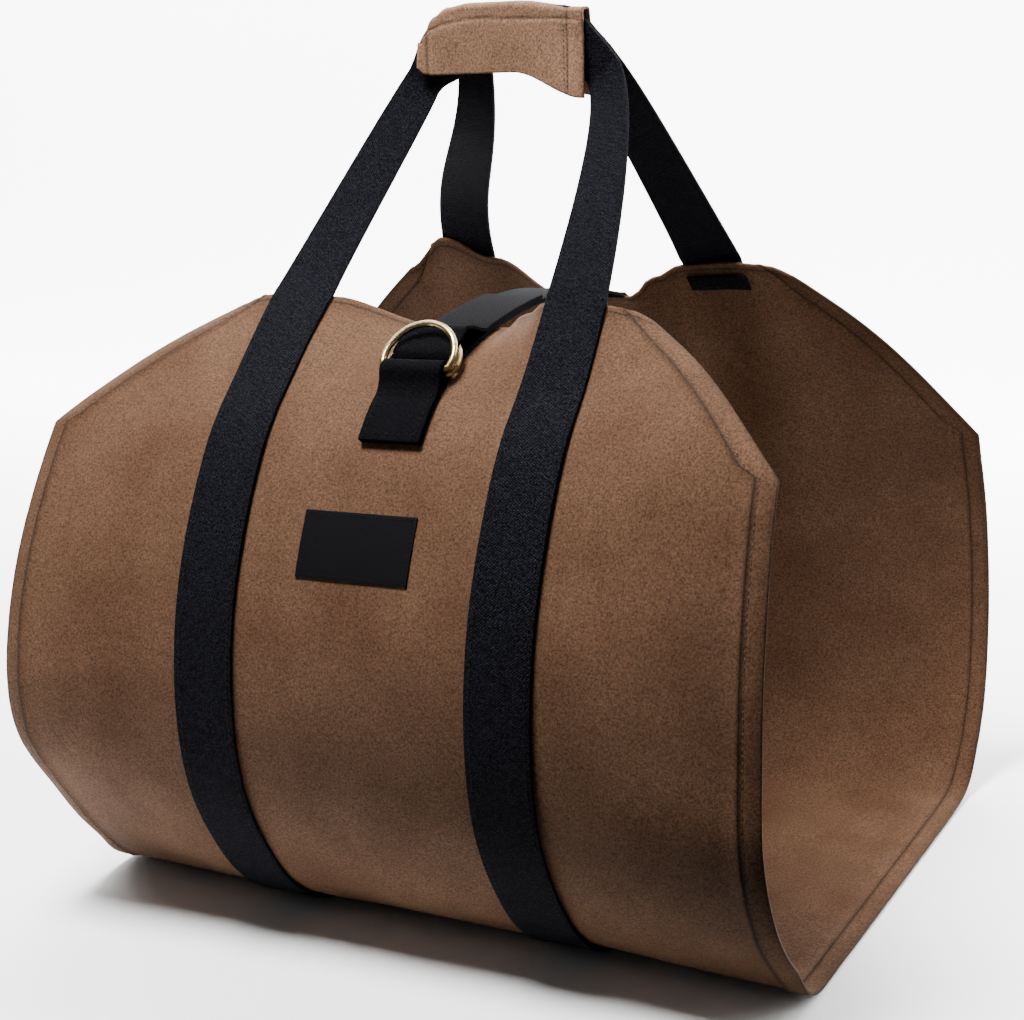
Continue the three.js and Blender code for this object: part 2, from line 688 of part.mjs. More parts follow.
function closureStrapGeometry() {
  const sewn = stations([clothLength - CLOSURE.sewnDown, clothLength], STEP).map((along) =>
    cloth(along, CLOSURE.across).addScaledVector(clothNormal(along, CLOSURE.across), underOut));
  const backEdge = cloth(clothLength, CLOSURE.across);
  const wall = CLOTH.wall + CLOTH.hemFold;
  const bend = [20, 45, 70, 90].map((turn) => {
    const angle = THREE.MathUtils.degToRad(turn);
    const point = backEdge.clone();
    point.y += underOut * Math.cos(angle);
    point.z += underOut * Math.sin(angle);
    return point;
  });
  const overEdge = backEdge.clone().add(new THREE.Vector3(0, -wall, underOut + SEAT));

  const tailOut = lowerBarOut + wireRadius + SEAT * 2 + WEBBING.thick / 2;
  const foldRadius = (tailOut - underOut) / 2;
  const foldRise = barRise + foldWide + CLOSURE.foldClear + foldRadius;
  const frontEdge = cloth(0, CLOSURE.across);
  const overFront = frontEdge.clone().add(new THREE.Vector3(0, 0, underOut + SEAT * 3));
  const arching = CLOSURE.archShares.map((share) => {
    const point = overEdge.clone().lerp(overFront, share);
    point.z += CLOSURE.crown * Math.sin(Math.PI * share);
    return point;
  });
  const down = CLOSURE.downShares.map((share) =>
    cloth(CLOSURE.overFront * share, CLOSURE.across).addScaledVector(
      clothNormal(CLOSURE.overFront * share, CLOSURE.across), underOut + SEAT * 2));
  const crossing = new THREE.CatmullRomCurve3([...arching, ...down, closurePoint(foldRise, underOut)]);
  const main = crossing.getPoints(4 * (arching.length + down.length));
  const fold = [];
  for (let turn = -60; turn <= 60; turn += 30) {
    const angle = THREE.MathUtils.degToRad(turn);
    const rise = foldRise - foldRadius * Math.cos(angle);
    fold.push(closurePoint(rise, underOut + foldRadius + foldRadius * Math.sin(angle)));
  }

  const ringEnd = barRise + RING.reach + RING.wire;
  const ringSlope = Math.tan(THREE.MathUtils.degToRad(RING.lowerTilt));
  const tail = stations([foldRise, ringEnd], STEP / 2).map((rise) =>
    closurePoint(rise, tailOut + (rise - barRise) * ringSlope));
  let travelled = 0;
  for (let i = main.length - 1; i > 0 && travelled < CLOSURE.tail; i -= 1) {
    const run = main[i - 1].clone().sub(main[i]);
    const normal = acrossX.clone().cross(run).normalize();
    if (travelled > ringEnd - foldRise + STEP) tail.push(main[i].clone().addScaledVector(normal, layer));
    travelled += run.length();
  }
  return band(stepsAlong([...sewn, ...bend, ...main, ...fold, ...tail]), WEBBING.width, WEBBING.thick);
}

// Label: a woven patch sewn to the front.

function labelGeometry() {
  const rows = stations([LABEL.fromEdge, LABEL.fromEdge + LABEL.height], STEP / 2);
  const left = LABEL.across - LABEL.width / 2;
  const columns = stations([left, left + LABEL.width], STEP);
  return laidOn(rows, columns, LABEL.thick);
}

// The carrier, put together.

const canvas = new THREE.MeshStandardMaterial({ color: 0x7d5c45, roughness: 0.85, metalness: 0 });
const webbing = new THREE.MeshStandardMaterial({ color: 0x1b1b20, roughness: 0.75, metalness: 0 });
const grip = new THREE.MeshStandardMaterial({ color: 0x9b775c, roughness: 0.9, metalness: 0 });
const brass = new THREE.MeshStandardMaterial({ color: 0xb09660, roughness: 0.3, metalness: 1 });
const woven = new THREE.MeshStandardMaterial({ color: 0x121214, roughness: 0.5, metalness: 0 });

const carrier = new THREE.Group();

function add(name, geometry, material) {
  const mesh = new THREE.Mesh(geometry, material);
  mesh.name = name;
  carrier.add(mesh);
}

add('canvas_body', canvasGeometry(), canvas);
add('strap_left', strapGeometry(-1), webbing);
add('strap_right', strapGeometry(1), webbing);
add('handle_front', frontHandleGeometry(), webbing);
add('handle_back', backHandleGeometry(), webbing);
add('grip_wrap', gripGeometry(), grip);
add('ring_tab', tabGeometry(), webbing);
add('d_ring_lower', ringGeometry(lowerBarOut, RING.lowerTilt), brass);
add('d_ring_upper', ringGeometry(upperBarOut, RING.upperTilt), brass);
add('closure_strap', closureStrapGeometry(), webbing);
add('label_patch', labelGeometry(), woven);

// The origin goes to the middle of the carrier's outer sizes, on the surface that it stands on.

const middle = new THREE.Box3().setFromObject(carrier).getCenter(new THREE.Vector3());
for (const mesh of carrier.children) mesh.geometry.translate(-middle.x, -middle.y, 0);

export default carrier;
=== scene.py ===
import math
from bisect import bisect_right

import bmesh
import bpy
from mathutils import Matrix, Vector, noise


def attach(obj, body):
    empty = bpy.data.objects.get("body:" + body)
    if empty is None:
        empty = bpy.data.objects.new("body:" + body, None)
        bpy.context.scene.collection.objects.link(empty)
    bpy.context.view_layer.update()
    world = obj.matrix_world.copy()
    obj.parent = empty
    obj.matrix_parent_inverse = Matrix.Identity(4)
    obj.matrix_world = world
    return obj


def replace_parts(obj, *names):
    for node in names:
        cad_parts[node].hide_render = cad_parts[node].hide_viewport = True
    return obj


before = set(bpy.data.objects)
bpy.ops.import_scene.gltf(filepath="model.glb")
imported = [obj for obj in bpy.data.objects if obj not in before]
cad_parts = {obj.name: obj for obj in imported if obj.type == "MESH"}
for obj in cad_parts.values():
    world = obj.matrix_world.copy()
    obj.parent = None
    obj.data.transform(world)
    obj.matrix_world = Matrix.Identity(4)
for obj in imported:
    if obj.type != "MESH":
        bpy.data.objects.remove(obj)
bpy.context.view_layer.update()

# The studio: a white paper sweep that runs up into the background, one broad soft light above and in
# front, weak ones from both sides, and a camera a little above the carrier, turned to one side.

CAMERA_PLACE = Vector((0.5693, -0.9919, 0.5261))
CAMERA_TURN = math.radians(29.84)
CAMERA_DIP = math.radians(15.31)
CAMERA_ROLL = math.radians(-4.29)
FOCAL_PIXELS = 1985.0
IMAGE_WIDTH = 1024
SENSOR = 36.0


def add_camera():
    along = Vector((-math.sin(CAMERA_TURN) * math.cos(CAMERA_DIP),
                    math.cos(CAMERA_TURN) * math.cos(CAMERA_DIP),
                    -math.sin(CAMERA_DIP)))
    level = Vector((math.cos(CAMERA_TURN), math.sin(CAMERA_TURN), 0))
    above = level.cross(along)
    right = level * math.cos(CAMERA_ROLL) + above * math.sin(CAMERA_ROLL)
    up = above * math.cos(CAMERA_ROLL) - level * math.sin(CAMERA_ROLL)
    camera = bpy.data.objects.new("camera", bpy.data.cameras.new("camera"))
    bpy.context.scene.collection.objects.link(camera)
    turn = Matrix((right, up, -along)).transposed().to_4x4()
    camera.matrix_world = Matrix.Translation(CAMERA_PLACE) @ turn
    camera.data.sensor_width = SENSOR
    camera.data.lens = FOCAL_PIXELS * SENSOR / IMAGE_WIDTH
    camera.data.clip_start = 0.05
    camera.data.clip_end = 50
    bpy.context.scene.camera = camera


def add_light(name, place, target, size, watts):
    lamp = bpy.data.lights.new(name, "AREA")
    lamp.shape = "DISK"
    lamp.size = size
    lamp.energy = watts
    light = bpy.data.objects.new(name, lamp)
    bpy.context.scene.collection.objects.link(light)
    light.location = place
    light.rotation_euler = (Vector(target) - Vector(place)).to_track_quat("-Z", "Y").to_euler()


def linear(hex_colour):
    parts = [int(hex_colour[i:i + 2], 16) / 255 for i in (1, 3, 5)]
    return tuple([c / 12.92 if c <= 0.04045 else ((c + 0.055) / 1.055) ** 2.4 for c in parts] + [1.0])


def new_material(name):
    material = bpy.data.materials.new(name)
    material.use_nodes = True
    return material, material.node_tree, material.node_tree.nodes["Principled BSDF"]


def node(tree, kind, settings=None, **inputs):
    made = tree.nodes.new("ShaderNode" + kind)
    for key, value in (settings or {}).items():
        setattr(made, key, value)
    for key, value in inputs.items():
        socket = made.inputs[int(key[2:])] if key.startswith("at") else made.inputs[key.replace("_", " ")]
        if isinstance(value, bpy.types.NodeSocket):
            tree.links.new(value, socket)
        else:
            socket.default_value = value
    return made


add_camera()
add_light("top", (-0.25, -0.42, 2.0), (0, -0.1, 0.3), 0.7, 135)
add_light("key", (-1.5, -1.5, 1.5), (0, 0, 0.3), 0.9, 1.0)
add_light("fill", (2.2, -0.9, 1.3), (0.1, 0.1, 0.3), 1.2, 1.5)

WORLD_LIGHT = 0.05

world = bpy.data.worlds.new("studio")
world.use_nodes = True
world.node_tree.nodes["Background"].inputs["Color"].default_value = (1, 1, 1, 1)
world.node_tree.nodes["Background"].inputs["Strength"].default_value = WORLD_LIGHT
bpy.context.scene.world = world

SWEEP_SIZE = 12.0
SWEEP_BEND_FROM = 1.1
SWEEP_BEND = 0.6
GLOW_FROM = 0.0
GLOW_FULL = 1.2
GLOW = 6.0
SWEEP_PIECES = 240


def object_from(bm, name):
    """The mesh with every face smooth, as an object in the scene."""
    for face in bm.faces:
        face.smooth = True
    mesh = bpy.data.meshes.new(name)
    bm.to_mesh(mesh)
    bm.free()
    made = bpy.data.objects.new(name, mesh)
    bpy.context.scene.collection.objects.link(made)
    return made


def stage_sheet(name, pieces, place, material):
    """A card of the studio: a grid of unit size whose corners go where place(x, y) says."""
    bm = bmesh.new()
    bmesh.ops.create_grid(bm, x_segments=1, y_segments=pieces, size=0.5)
    for vert in bm.verts:
        vert.co = place(vert.co.x, vert.co.y + 0.5)
    made = object_from(bm, name)
    made.data.materials.append(material)


def sweep_place(x, share):
    """Along the floor, round the bend and up the wall behind."""
    run = share * SWEEP_SIZE - SWEEP_SIZE / 2
    turn = min(max(0.0, (run - SWEEP_BEND_FROM) / SWEEP_BEND), math.pi / 2)
    wall = max(0.0, run - SWEEP_BEND_FROM - SWEEP_BEND * math.pi / 2)
    y = min(run, SWEEP_BEND_FROM) + SWEEP_BEND * math.sin(turn)
    return Vector((x * SWEEP_SIZE, y, SWEEP_BEND * (1 - math.cos(turn)) + wall))


# White paper that glows more and more towards the back, painted light in place of a lamp on it, so that it
# shows no shade there.

paper, tree, shader = new_material("studio paper")
shader.inputs["Base Color"].default_value = linear("#fcfcfc")
shader.inputs["Roughness"].default_value = 0.9
place = node(tree, "TexCoord").outputs["Object"]
depth = node(tree, "SeparateXYZ", at0=place).outputs[1]
glow = node(tree, "MapRange", {"interpolation_type": "SMOOTHSTEP"}, Value=depth,
            From_Min=GLOW_FROM, From_Max=GLOW_FULL, To_Max=GLOW).outputs[0]
tree.links.new(glow, shader.inputs["Emission Strength"])
shader.inputs["Emission Color"].default_value = (1, 1, 1, 1)
stage_sheet("sweep", SWEEP_PIECES, sweep_place, paper)

# A black card on the floor, nearer the camera than the picture shows, keeps light off the low front.

CARD_FROM_CAMERA = 0.86
CARD_DEEP = 2.2
CARD_WIDE = 3.2


def card_place(x, share):
    ahead = Vector((-math.sin(CAMERA_TURN), math.cos(CAMERA_TURN), 0))
    aside = Vector((math.cos(CAMERA_TURN), math.sin(CAMERA_TURN), 0))
    below = Vector((CAMERA_PLACE.x, CAMERA_PLACE.y, 0.002))
    return below + ahead * (CARD_FROM_CAMERA - CARD_DEEP * (1 - share)) + aside * (x * CARD_WIDE)


black_card, tree, shader = new_material("black card")
shader.inputs["Base Color"].default_value = linear("#141414")
shader.inputs["Roughness"].default_value = 0.9
stage_sheet("front_card", 1, card_place, black_card)

# The body: one sheet of waxed cotton canvas. It hangs in a deep U round the load, its four corners
# are cut off, and a hem is folded to the outside along its sides and held by one line of stitches.
# The top edges are rolled; the roll is drawn only as a line of painted shade. The tables give the section of
# the loaded cloth, as shares of its half depth and height, and the dips of its top edges, as shares
# of its half width and height.

MM = 0.001
SEAT = 0.3
HALF_DEPTH = 170
HEIGHT = 352
CLOTH_WIDTH = 463
CORNER_DROP = 94
CORNER_BULGE = 0.04
CLOTH_WALL = 2
HEM = 15
HEM_SHOWN = 12
HEM_STEP = 1.5
HEM_FOLD = 1
CURL_IN = 4
CURL_REACH = 24
FRONT_EDGE_REACH = 78
BACK_EDGE_REACH = 72
WEBBING_WIDTH = 38
WEBBING_THICK = 2
WEBBING_SPREAD = 92

SECTION = [
    # y, z, left y, left z, right y, right z
    (-0.276, 1.000, -0.235, 1.000, -0.388, 1.000),
    (-0.482, 0.895, -0.447, 0.903, -0.588, 0.915),
    (-0.688, 0.795, -0.659, 0.801, -0.765, 0.818),
    (-0.912, 0.602, -0.929, 0.602, -0.924, 0.602),
    (-1.000, 0.426, -1.047, 0.426, -0.988, 0.426),
    (-0.988, 0.276, -1.035, 0.318, -1.006, 0.298),
    (-0.894, 0.159, -0.894, 0.193, -0.929, 0.170),
    (-0.765, 0.068, -0.753, 0.091, -0.794, 0.077),
    (-0.588, 0.009, -0.588, 0.014, -0.635, 0.009),
    (-0.353, 0.000, -0.353, 0.000, -0.353, 0.000),
    (0.118, 0.000, 0.118, 0.000, 0.235, 0.000),
    (0.588, 0.000, 0.588, 0.000, 0.765, 0.000),
    (0.841, 0.028, 0.871, 0.028, 1.012, 0.017),
    (0.971, 0.128, 1.024, 0.128, 1.206, 0.114),
    (1.012, 0.313, 1.082, 0.313, 1.300, 0.284),
    (1.012, 0.568, 1.082, 0.568, 1.288, 0.483),
    (0.971, 0.795, 1.012, 0.773, 1.182, 0.668),
    (0.894, 0.972, 0.882, 0.952, 1.088, 0.909),
]

EDGES = [
    # across, front in, front drop, back in, back rise, back lean
    (-1.000, 0.000, 0.000, 0.000, 0.000, 0.000),
    (-0.587, 0.014, 0.017, 0.000, -0.015, 0.000),
    (-0.480, 0.020, 0.004, 0.006, 0.037, 0.000),
    (-0.316, 0.030, 0.008, 0.006, -0.001, 0.000),
    (-0.070, 0.077, 0.063, 0.028, -0.066, -0.006),
    (0.130, 0.077, 0.063, 0.028, -0.066, -0.006),
    (0.210, 0.040, 0.034, 0.016, -0.034, -0.020),
    (0.316, -0.012, 0.004, 0.006, -0.012, -0.034),
    (0.480, -0.026, 0.004, 0.006, -0.006, -0.032),
    (0.540, -0.020, 0.012, 0.000, -0.009, -0.024),
    (0.600, -0.017, 0.022, 0.000, -0.020, -0.014),
    (1.000, 0.000, 0.000, 0.000, 0.000, 0.000),
]

PLAIN_BESIDE_HEM = 1.6

strap_half = WEBBING_WIDTH / 2
cloth_half = CLOTH_WIDTH / 2
floor_lift = WEBBING_THICK + SEAT
hem_slant = math.sqrt(2)
top_half = WEBBING_SPREAD + strap_half + (HEM + HEM_STEP) * hem_slant + PLAIN_BESIDE_HEM


def smooth(share):
    t = min(1.0, max(0.0, share))
    return t * t * (3 - 2 * t)


def read_table(rows, at, column):
    if at <= rows[0][0]:
        return rows[0][column]
    if at >= rows[-1][0]:
        return rows[-1][column]
    for low, high in zip(rows, rows[1:]):
        if high[0] > at:
            break
    return low[column] + (high[column] - low[column]) * smooth((at - low[0]) / (high[0] - low[0]))


def stations(keys, step):
    places = sorted(keys)
    out = [places[0]]
    for low, high in zip(places, places[1:]):
        count = max(1, math.ceil((high - low) / step - 1e-6))
        out += [low + (high - low) * k / count for k in range(1, count + 1)]
    return out


def spline_point(points, share):
    """A centripetal Catmull-Rom spline through the points, ends carried straight on."""
    last = len(points) - 1
    place = min(max(share, 0.0), 1.0) * last
    i = min(int(place), last - 1)
    t = place - i
    b, c = points[i], points[i + 1]
    a = points[i - 1] if i > 0 else b * 2 - c
    d = points[i + 2] if i + 2 <= last else c * 2 - b
    ab, bc, cd = (max(1e-4, (q - p).length) ** 0.5 for p, q in ((a, b), (b, c), (c, d)))
    in_b = ((b - a) / ab - (c - a) / (ab + bc) + (c - b) / bc) * bc
    in_c = ((c - b) / bc - (d - b) / (bc + cd) + (d - c) / cd) * bc
    return (b + in_b * t + (b * -3 + c * 3 - in_b * 2 - in_c) * t * t
            + (b * 2 - c * 2 + in_b + in_c) * t ** 3)


class Section:
    """One section of the cloth, read by the share of its own length."""

    def __init__(self, y_column, z_column, samples=1200):
        knots = [Vector((0, row[y_column] * HALF_DEPTH, row[z_column] * HEIGHT)) for row in SECTION]
        self.points = [spline_point(knots, i / samples) for i in range(samples + 1)]
        self.reached = [0.0]
        for p, q in zip(self.points, self.points[1:]):
            self.reached.append(self.reached[-1] + (q - p).length)
        self.length = self.reached[-1]

    def at(self, share):
        target = min(max(share, 0.0), 1.0) * self.length
        low = min(max(bisect_right(self.reached, target) - 1, 0), len(self.reached) - 2)
        part = (target - self.reached[low]) / max(1e-9, self.reached[low + 1] - self.reached[low])
        return self.points[low].lerp(self.points[low + 1], part)


middle_section = Section(0, 1)
left_section = Section(2, 3)
right_section = Section(4, 5)
cloth_length = middle_section.length


def half_width_at(along):
    share = min(1.0, max(0.0, min(along, cloth_length - along) / CORNER_DROP))
    share += CORNER_BULGE * math.sin(math.pi * share)
    return top_half + (cloth_half - top_half) * min(1.0, share)


def bare_cloth(along, across):
    share = along / cloth_length
    point = middle_section.at(share)
    weight = smooth((abs(across) - WEBBING_SPREAD) / (cloth_half - WEBBING_SPREAD))
    if weight > 0:
        end = left_section if across < 0 else right_section
        point = point.lerp(end.at(share), weight)
    at_across = across / cloth_half
    near_front = max(0.0, 1 - along / FRONT_EDGE_REACH) ** 2
    near_back = max(0.0, 1 - (cloth_length - along) / BACK_EDGE_REACH) ** 2
    x = across
    if near_front > 0:
        point.y += near_front * HEIGHT * read_table(EDGES, at_across, 1)
        point.z -= near_front * HEIGHT * read_table(EDGES, at_across, 2)
    if near_back > 0:
        point.y -= near_back * HEIGHT * read_table(EDGES, at_across, 3)
        point.z += near_back * HEIGHT * read_table(EDGES, at_across, 4)
        x += near_back * HEIGHT * read_table(EDGES, at_across, 5)
    return Vector((x, point.y, max(0.0, point.z) + floor_lift))


def outward_normal(surface, along, across):
    low = max(0.0, along - 1)
    high = min(cloth_length, along + 1)
    down = surface(high, across) - surface(low, across)
    side = surface(along, across + 1) - surface(along, across - 1)
    return down.cross(side).normalized()


def cloth(along, across):
    point = bare_cloth(along, across)
    to_rim = half_width_at(along) - abs(across)
    curl = max(0.0, 1 - to_rim / CURL_REACH) ** 2
    if curl > 0:
        on_floor = smooth((point.z - floor_lift) / CURL_REACH)
        point -= outward_normal(bare_cloth, along, across) * (CURL_IN * curl * on_floor)
    return point


def cloth_normal(along, across):
    return outward_normal(cloth, along, across)


FRAME_MIDDLE = Vector((0.01, 21.015, 0))


def in_frame(point):
    """From mm about a point under the load to metres about the carrier's bottom centre."""
    return (point - FRAME_MIDDLE) * MM


def strip(name, along_count, across_count, place, painted_shade_at=None):
    """A strip of cloth: a grid moved to place(i, j), which gives a point and its flat place, in mm.

    The last argument, where given, is the painted shade at (i, j), from 0 to 1: how much darker the cloth is
    drawn there.
    """
    bm = bmesh.new()
    bmesh.ops.create_grid(bm, x_segments=along_count - 1, y_segments=across_count - 1, size=1)
    flat = bm.loops.layers.uv.new("flat")
    painted_shade = bm.verts.layers.float.new("painted_shade")
    laid = {}
    for vert in bm.verts:
        i = round((vert.co.x + 1) / 2 * (along_count - 1))
        j = round((vert.co.y + 1) / 2 * (across_count - 1))
        point, along, across = place(i, j)
        vert.co = in_frame(point)
        vert[painted_shade] = painted_shade_at(i, j) if painted_shade_at else 0.0
        laid[vert] = (across * MM, along * MM)
    for face in bm.faces:
        for loop in face.loops:
            loop[flat].uv = laid[loop.vert]
    return object_from(bm, name)


def thicken(piece, wall, offset, edge=0.0):
    made = piece.modifiers.new("wall", "SOLIDIFY")
    made.thickness = wall * MM
    made.offset = offset
    if edge:
        rounded = piece.modifiers.new("edge", "BEVEL")
        rounded.width = edge * MM
        rounded.segments = 2
        rounded.limit_method = "ANGLE"
        rounded.angle_limit = math.radians(50)
        rounded.harden_normals = False


def from_top(along):
    return min(along, cloth_length - along)


def slant_at(along):
    """How much longer a distance from the rim is, measured across, where a corner is cut off."""
    return hem_slant if half_width_at(along) < cloth_half - 0.01 else 1


def from_side(along, across):
    return (half_width_at(along) - abs(across)) / slant_at(along)


def ridge(distance, reach):
    """1 on a line, falling away smoothly on both sides of it."""
    return math.exp(-(distance / reach) ** 2)


def wave(kind, along, across, shift=0):
    depth, long, wide, seed = kind
    return noise.noise(Vector((along / long, across / wide, seed + shift))) * depth


STITCH_IN_HEM = 3
GROOVE_DEEP = 0.45
GROOVE_REACH = 1.2


def hem_rise(along, across):
    """How far the side hem stands proud of the cloth, with a shallow groove along its stitches."""
    edge = from_side(along, across)
    rise = HEM_FOLD * (1 - smooth((edge - HEM_SHOWN) / HEM_STEP))
    return rise - GROOVE_DEEP * ridge(edge - HEM_SHOWN + STITCH_IN_HEM, GROOVE_REACH)


# The waves of the cloth: depth, length and width in mm, and a place in the noise.
BROAD_SWELL = (1.5, 95, 70, 3.1)
SMALL_SWELL = (0.5, 38, 30, 7.7)
PUCKER = (0.5, 9, 9, 1.3)
PUCKER_REACH = 9
SEWN_DIP = 0.5
SEWN_REACH = 7
SWELL_FROM_EDGE = 40
BESIDE_STRAP = 3


def cloth_waves(along, across):
    """Soft swells where the load pushes, and small puckers drawn up by the hem's stitches."""
    edge = from_side(along, across)
    pucker = wave(PUCKER, along, across) * ridge(edge - HEM_SHOWN, PUCKER_REACH)
    off_strap = abs(across) - WEBBING_SPREAD
    beside = min(abs(off_strap + strap_half), abs(off_strap - strap_half))
    sewn = -SEWN_DIP * ridge(beside, SEWN_REACH)
    low = smooth(min(edge, from_top(along)) / SWELL_FROM_EDGE)
    return wave(BROAD_SWELL, along, across) * low + wave(SMALL_SWELL, along, across) * low + pucker + sewn


def canvas_point(along, across):
    height = hem_rise(along, across) + cloth_waves(along, across)
    under_strap = abs(abs(across) - WEBBING_SPREAD) < strap_half + BESIDE_STRAP
    if under_strap:
        height = min(height, hem_rise(along, across))
    return cloth(along, across) + cloth_normal(along, across) * height


CLOTH_STEP = 5
SHEET_WALL = 1.7
RIM = 4
HEM_PLACES = [0, 1.2, 4, 7] + [HEM_SHOWN + more for more in (-4, -3, -2, -1, 0, HEM_STEP)]
BESIDE_COLUMNS = 13
UNDER_COLUMNS = 6
MIDDLE_COLUMNS = 12

near_edges = [0, 1.2, RIM - 1, RIM, RIM + 1]
near_edges += [cloth_length - place for place in near_edges]
canvas_rows = stations(near_edges + [CORNER_DROP, cloth_length - CORNER_DROP], CLOTH_STEP)


def canvas_columns(along):
    """Places across one row: close over the hem, then even beside, under and between the straps."""
    side = [half_width_at(along) - place * slant_at(along) for place in HEM_PLACES]
    outer = WEBBING_SPREAD + strap_half
    inner = WEBBING_SPREAD - strap_half
    side += [side[-1] + (outer - side[-1]) * k / BESIDE_COLUMNS for k in range(1, BESIDE_COLUMNS + 1)]
    side += [outer + (inner - outer) * k / UNDER_COLUMNS for k in range(1, UNDER_COLUMNS + 1)]
    side += [inner * (1 - k / MIDDLE_COLUMNS) for k in range(1, MIDDLE_COLUMNS)]
    return [-value for value in side] + [0] + side[::-1]


column_table = [canvas_columns(along) for along in canvas_rows]


def place_canvas(i, j):
    along, across = canvas_rows[i], column_table[i][j]
    return canvas_point(along, across), along, across


SEAM_REACH = 1.1
RIM_DARK = 0.7
RIM_REACH = 1.2
ROLL_DARK = 0.9
ROLL_REACH = 0.9
ROLL_FROM_SIDE = 3


def seam_shade(i, j):
    """Painted shade along the hem's raw edge, along the rims and under the roll of the top edges."""
    along, across = canvas_rows[i], column_table[i][j]
    edge = from_side(along, across)
    line = ridge(edge - HEM_SHOWN + 1, SEAM_REACH)
    rim = RIM_DARK * ridge(edge, RIM_REACH)
    rolled = ROLL_DARK * ridge(from_top(along) - RIM, ROLL_REACH) * smooth(edge / ROLL_FROM_SIDE)
    return min(1.0, line + rim + rolled)


canvas_body = strip("canvas_sheet", len(canvas_rows), len(column_table[0]), place_canvas, seam_shade)
thicken(canvas_body, SHEET_WALL, -1)

# Waxed cotton canvas: a dense plain weave, brushed with wax, so it is matt with a soft bloom. The
# threads are 0.5 mm apart on the real one and drawn at 0.9 mm so that they show.

CANVAS_THREAD_MM = 0.9


def weave_height(tree, pitch_along, pitch_across, skew=0.0):
    """A plain weave from two crossed waves over the piece's own flat map, 0 in the gaps to 1."""
    flat = node(tree, "UVMap", {"uv_map": "flat"}).outputs[0]
    parts = node(tree, "SeparateXYZ", at0=flat)
    across, along = parts.outputs[0], parts.outputs[1]
    turns = 2 * math.pi / MM
    shifted = node(tree, "Math", {"operation": "MULTIPLY_ADD"}, at0=across, at1=skew, at2=along)
    warp = node(tree, "Math", {"operation": "MULTIPLY"}, at0=across, at1=turns / pitch_across)
    weft = node(tree, "Math", {"operation": "MULTIPLY"}, at0=shifted.outputs[0], at1=turns / pitch_along)
    warp = node(tree, "Math", {"operation": "SINE"}, at0=warp.outputs[0])
    weft = node(tree, "Math", {"operation": "SINE"}, at0=weft.outputs[0])
    both = node(tree, "Math", {"operation": "MULTIPLY"}, at0=warp.outputs[0], at1=weft.outputs[0])
    return node(tree, "Math", {"operation": "MULTIPLY_ADD"}, at0=both.outputs[0], at1=0.5, at2=0.5).outputs[0]


CLOUD_MM = 45
NAP_MM = 1.2
SEAM_SHADE = 0.25


def canvas_material(name, dark, light, bloom):
    """Clouds of worn wax, a mottled nap and the weave, the last two as shade and as relief; then the painted
    shade from the mesh's attribute.
    """
    material, tree, shader = new_material(name)
    place = node(tree, "TexCoord").outputs["Object"]
    wax = node(tree, "TexNoise", Vector=place, Scale=1 / (CLOUD_MM * MM), Detail=4.0).outputs[0]
    wax = node(tree, "MapRange", Value=wax, From_Min=0.3, From_Max=0.7).outputs[0]
    nap = node(tree, "TexNoise", Vector=place, Scale=1 / (NAP_MM * MM), Detail=5.0, Roughness=0.7).outputs[0]
    fleck = node(tree, "MapRange", Value=nap, From_Min=0.36, From_Max=0.64, To_Min=0.3).outputs[0]
    weave = weave_height(tree, CANVAS_THREAD_MM, CANVAS_THREAD_MM)
    threads = node(tree, "MapRange", Value=weave, To_Min=0.84).outputs[0]
    shade = node(tree, "Math", {"operation": "MULTIPLY"}, at0=fleck, at1=threads).outputs[0]
    # Painted shade from the mesh's attribute: the cloth is drawn darker in the lines along hems, rims, the
    # lap and the folds.
    painted_shade = node(tree, "Attribute", {"attribute_name": "painted_shade"}).outputs["Fac"]
    painted_shade_factor = node(tree, "MapRange", Value=painted_shade, To_Min=1.0, To_Max=SEAM_SHADE).outputs[0]
    shade = node(tree, "Math", {"operation": "MULTIPLY"}, at0=shade, at1=painted_shade_factor).outputs[0]
    tone = node(tree, "Mix", {"data_type": "RGBA"}, at0=wax, at6=linear(dark), at7=linear(light)).outputs[2]
    colour = node(tree, "VectorMath", {"operation": "SCALE"}, at0=tone, Scale=shade).outputs[0]
    tree.links.new(colour, shader.inputs["Base Color"])
    brushed = node(tree, "Bump", Height=nap, Distance=0.25 * MM, Strength=0.5).outputs[0]
    woven = node(tree, "Bump", Height=weave, Distance=0.12 * MM, Strength=0.6, Normal=brushed).outputs[0]
    tree.links.new(woven, shader.inputs["Normal"])
    shader.inputs["Roughness"].default_value = 0.82
    shader.inputs["Specular IOR Level"].default_value = 0.1
    shader.inputs["Sheen Weight"].default_value = bloom
    shader.inputs["Sheen Roughness"].default_value = 0.55
    shader.inputs["Sheen Tint"].default_value = linear("#c9a98c")
    return material


waxed_canvas = canvas_material("waxed canvas", "#593d2a", "#674b37", 0.02)
canvas_body.data.materials.append(waxed_canvas)
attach(canvas_body, "root")
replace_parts(canvas_body, "canvas_body")

# The hem's stitches: waxed brown thread, one line 3 mm inside the fold's raw edge, each stitch a
# short length of thread that dips into the cloth at both ends.

STITCH_MM = 3.6
STITCH_GAP = 0.9
THREAD_MM = 0.55
THREAD_PROUD = 0.2
HEM_LINE_STEP = 4


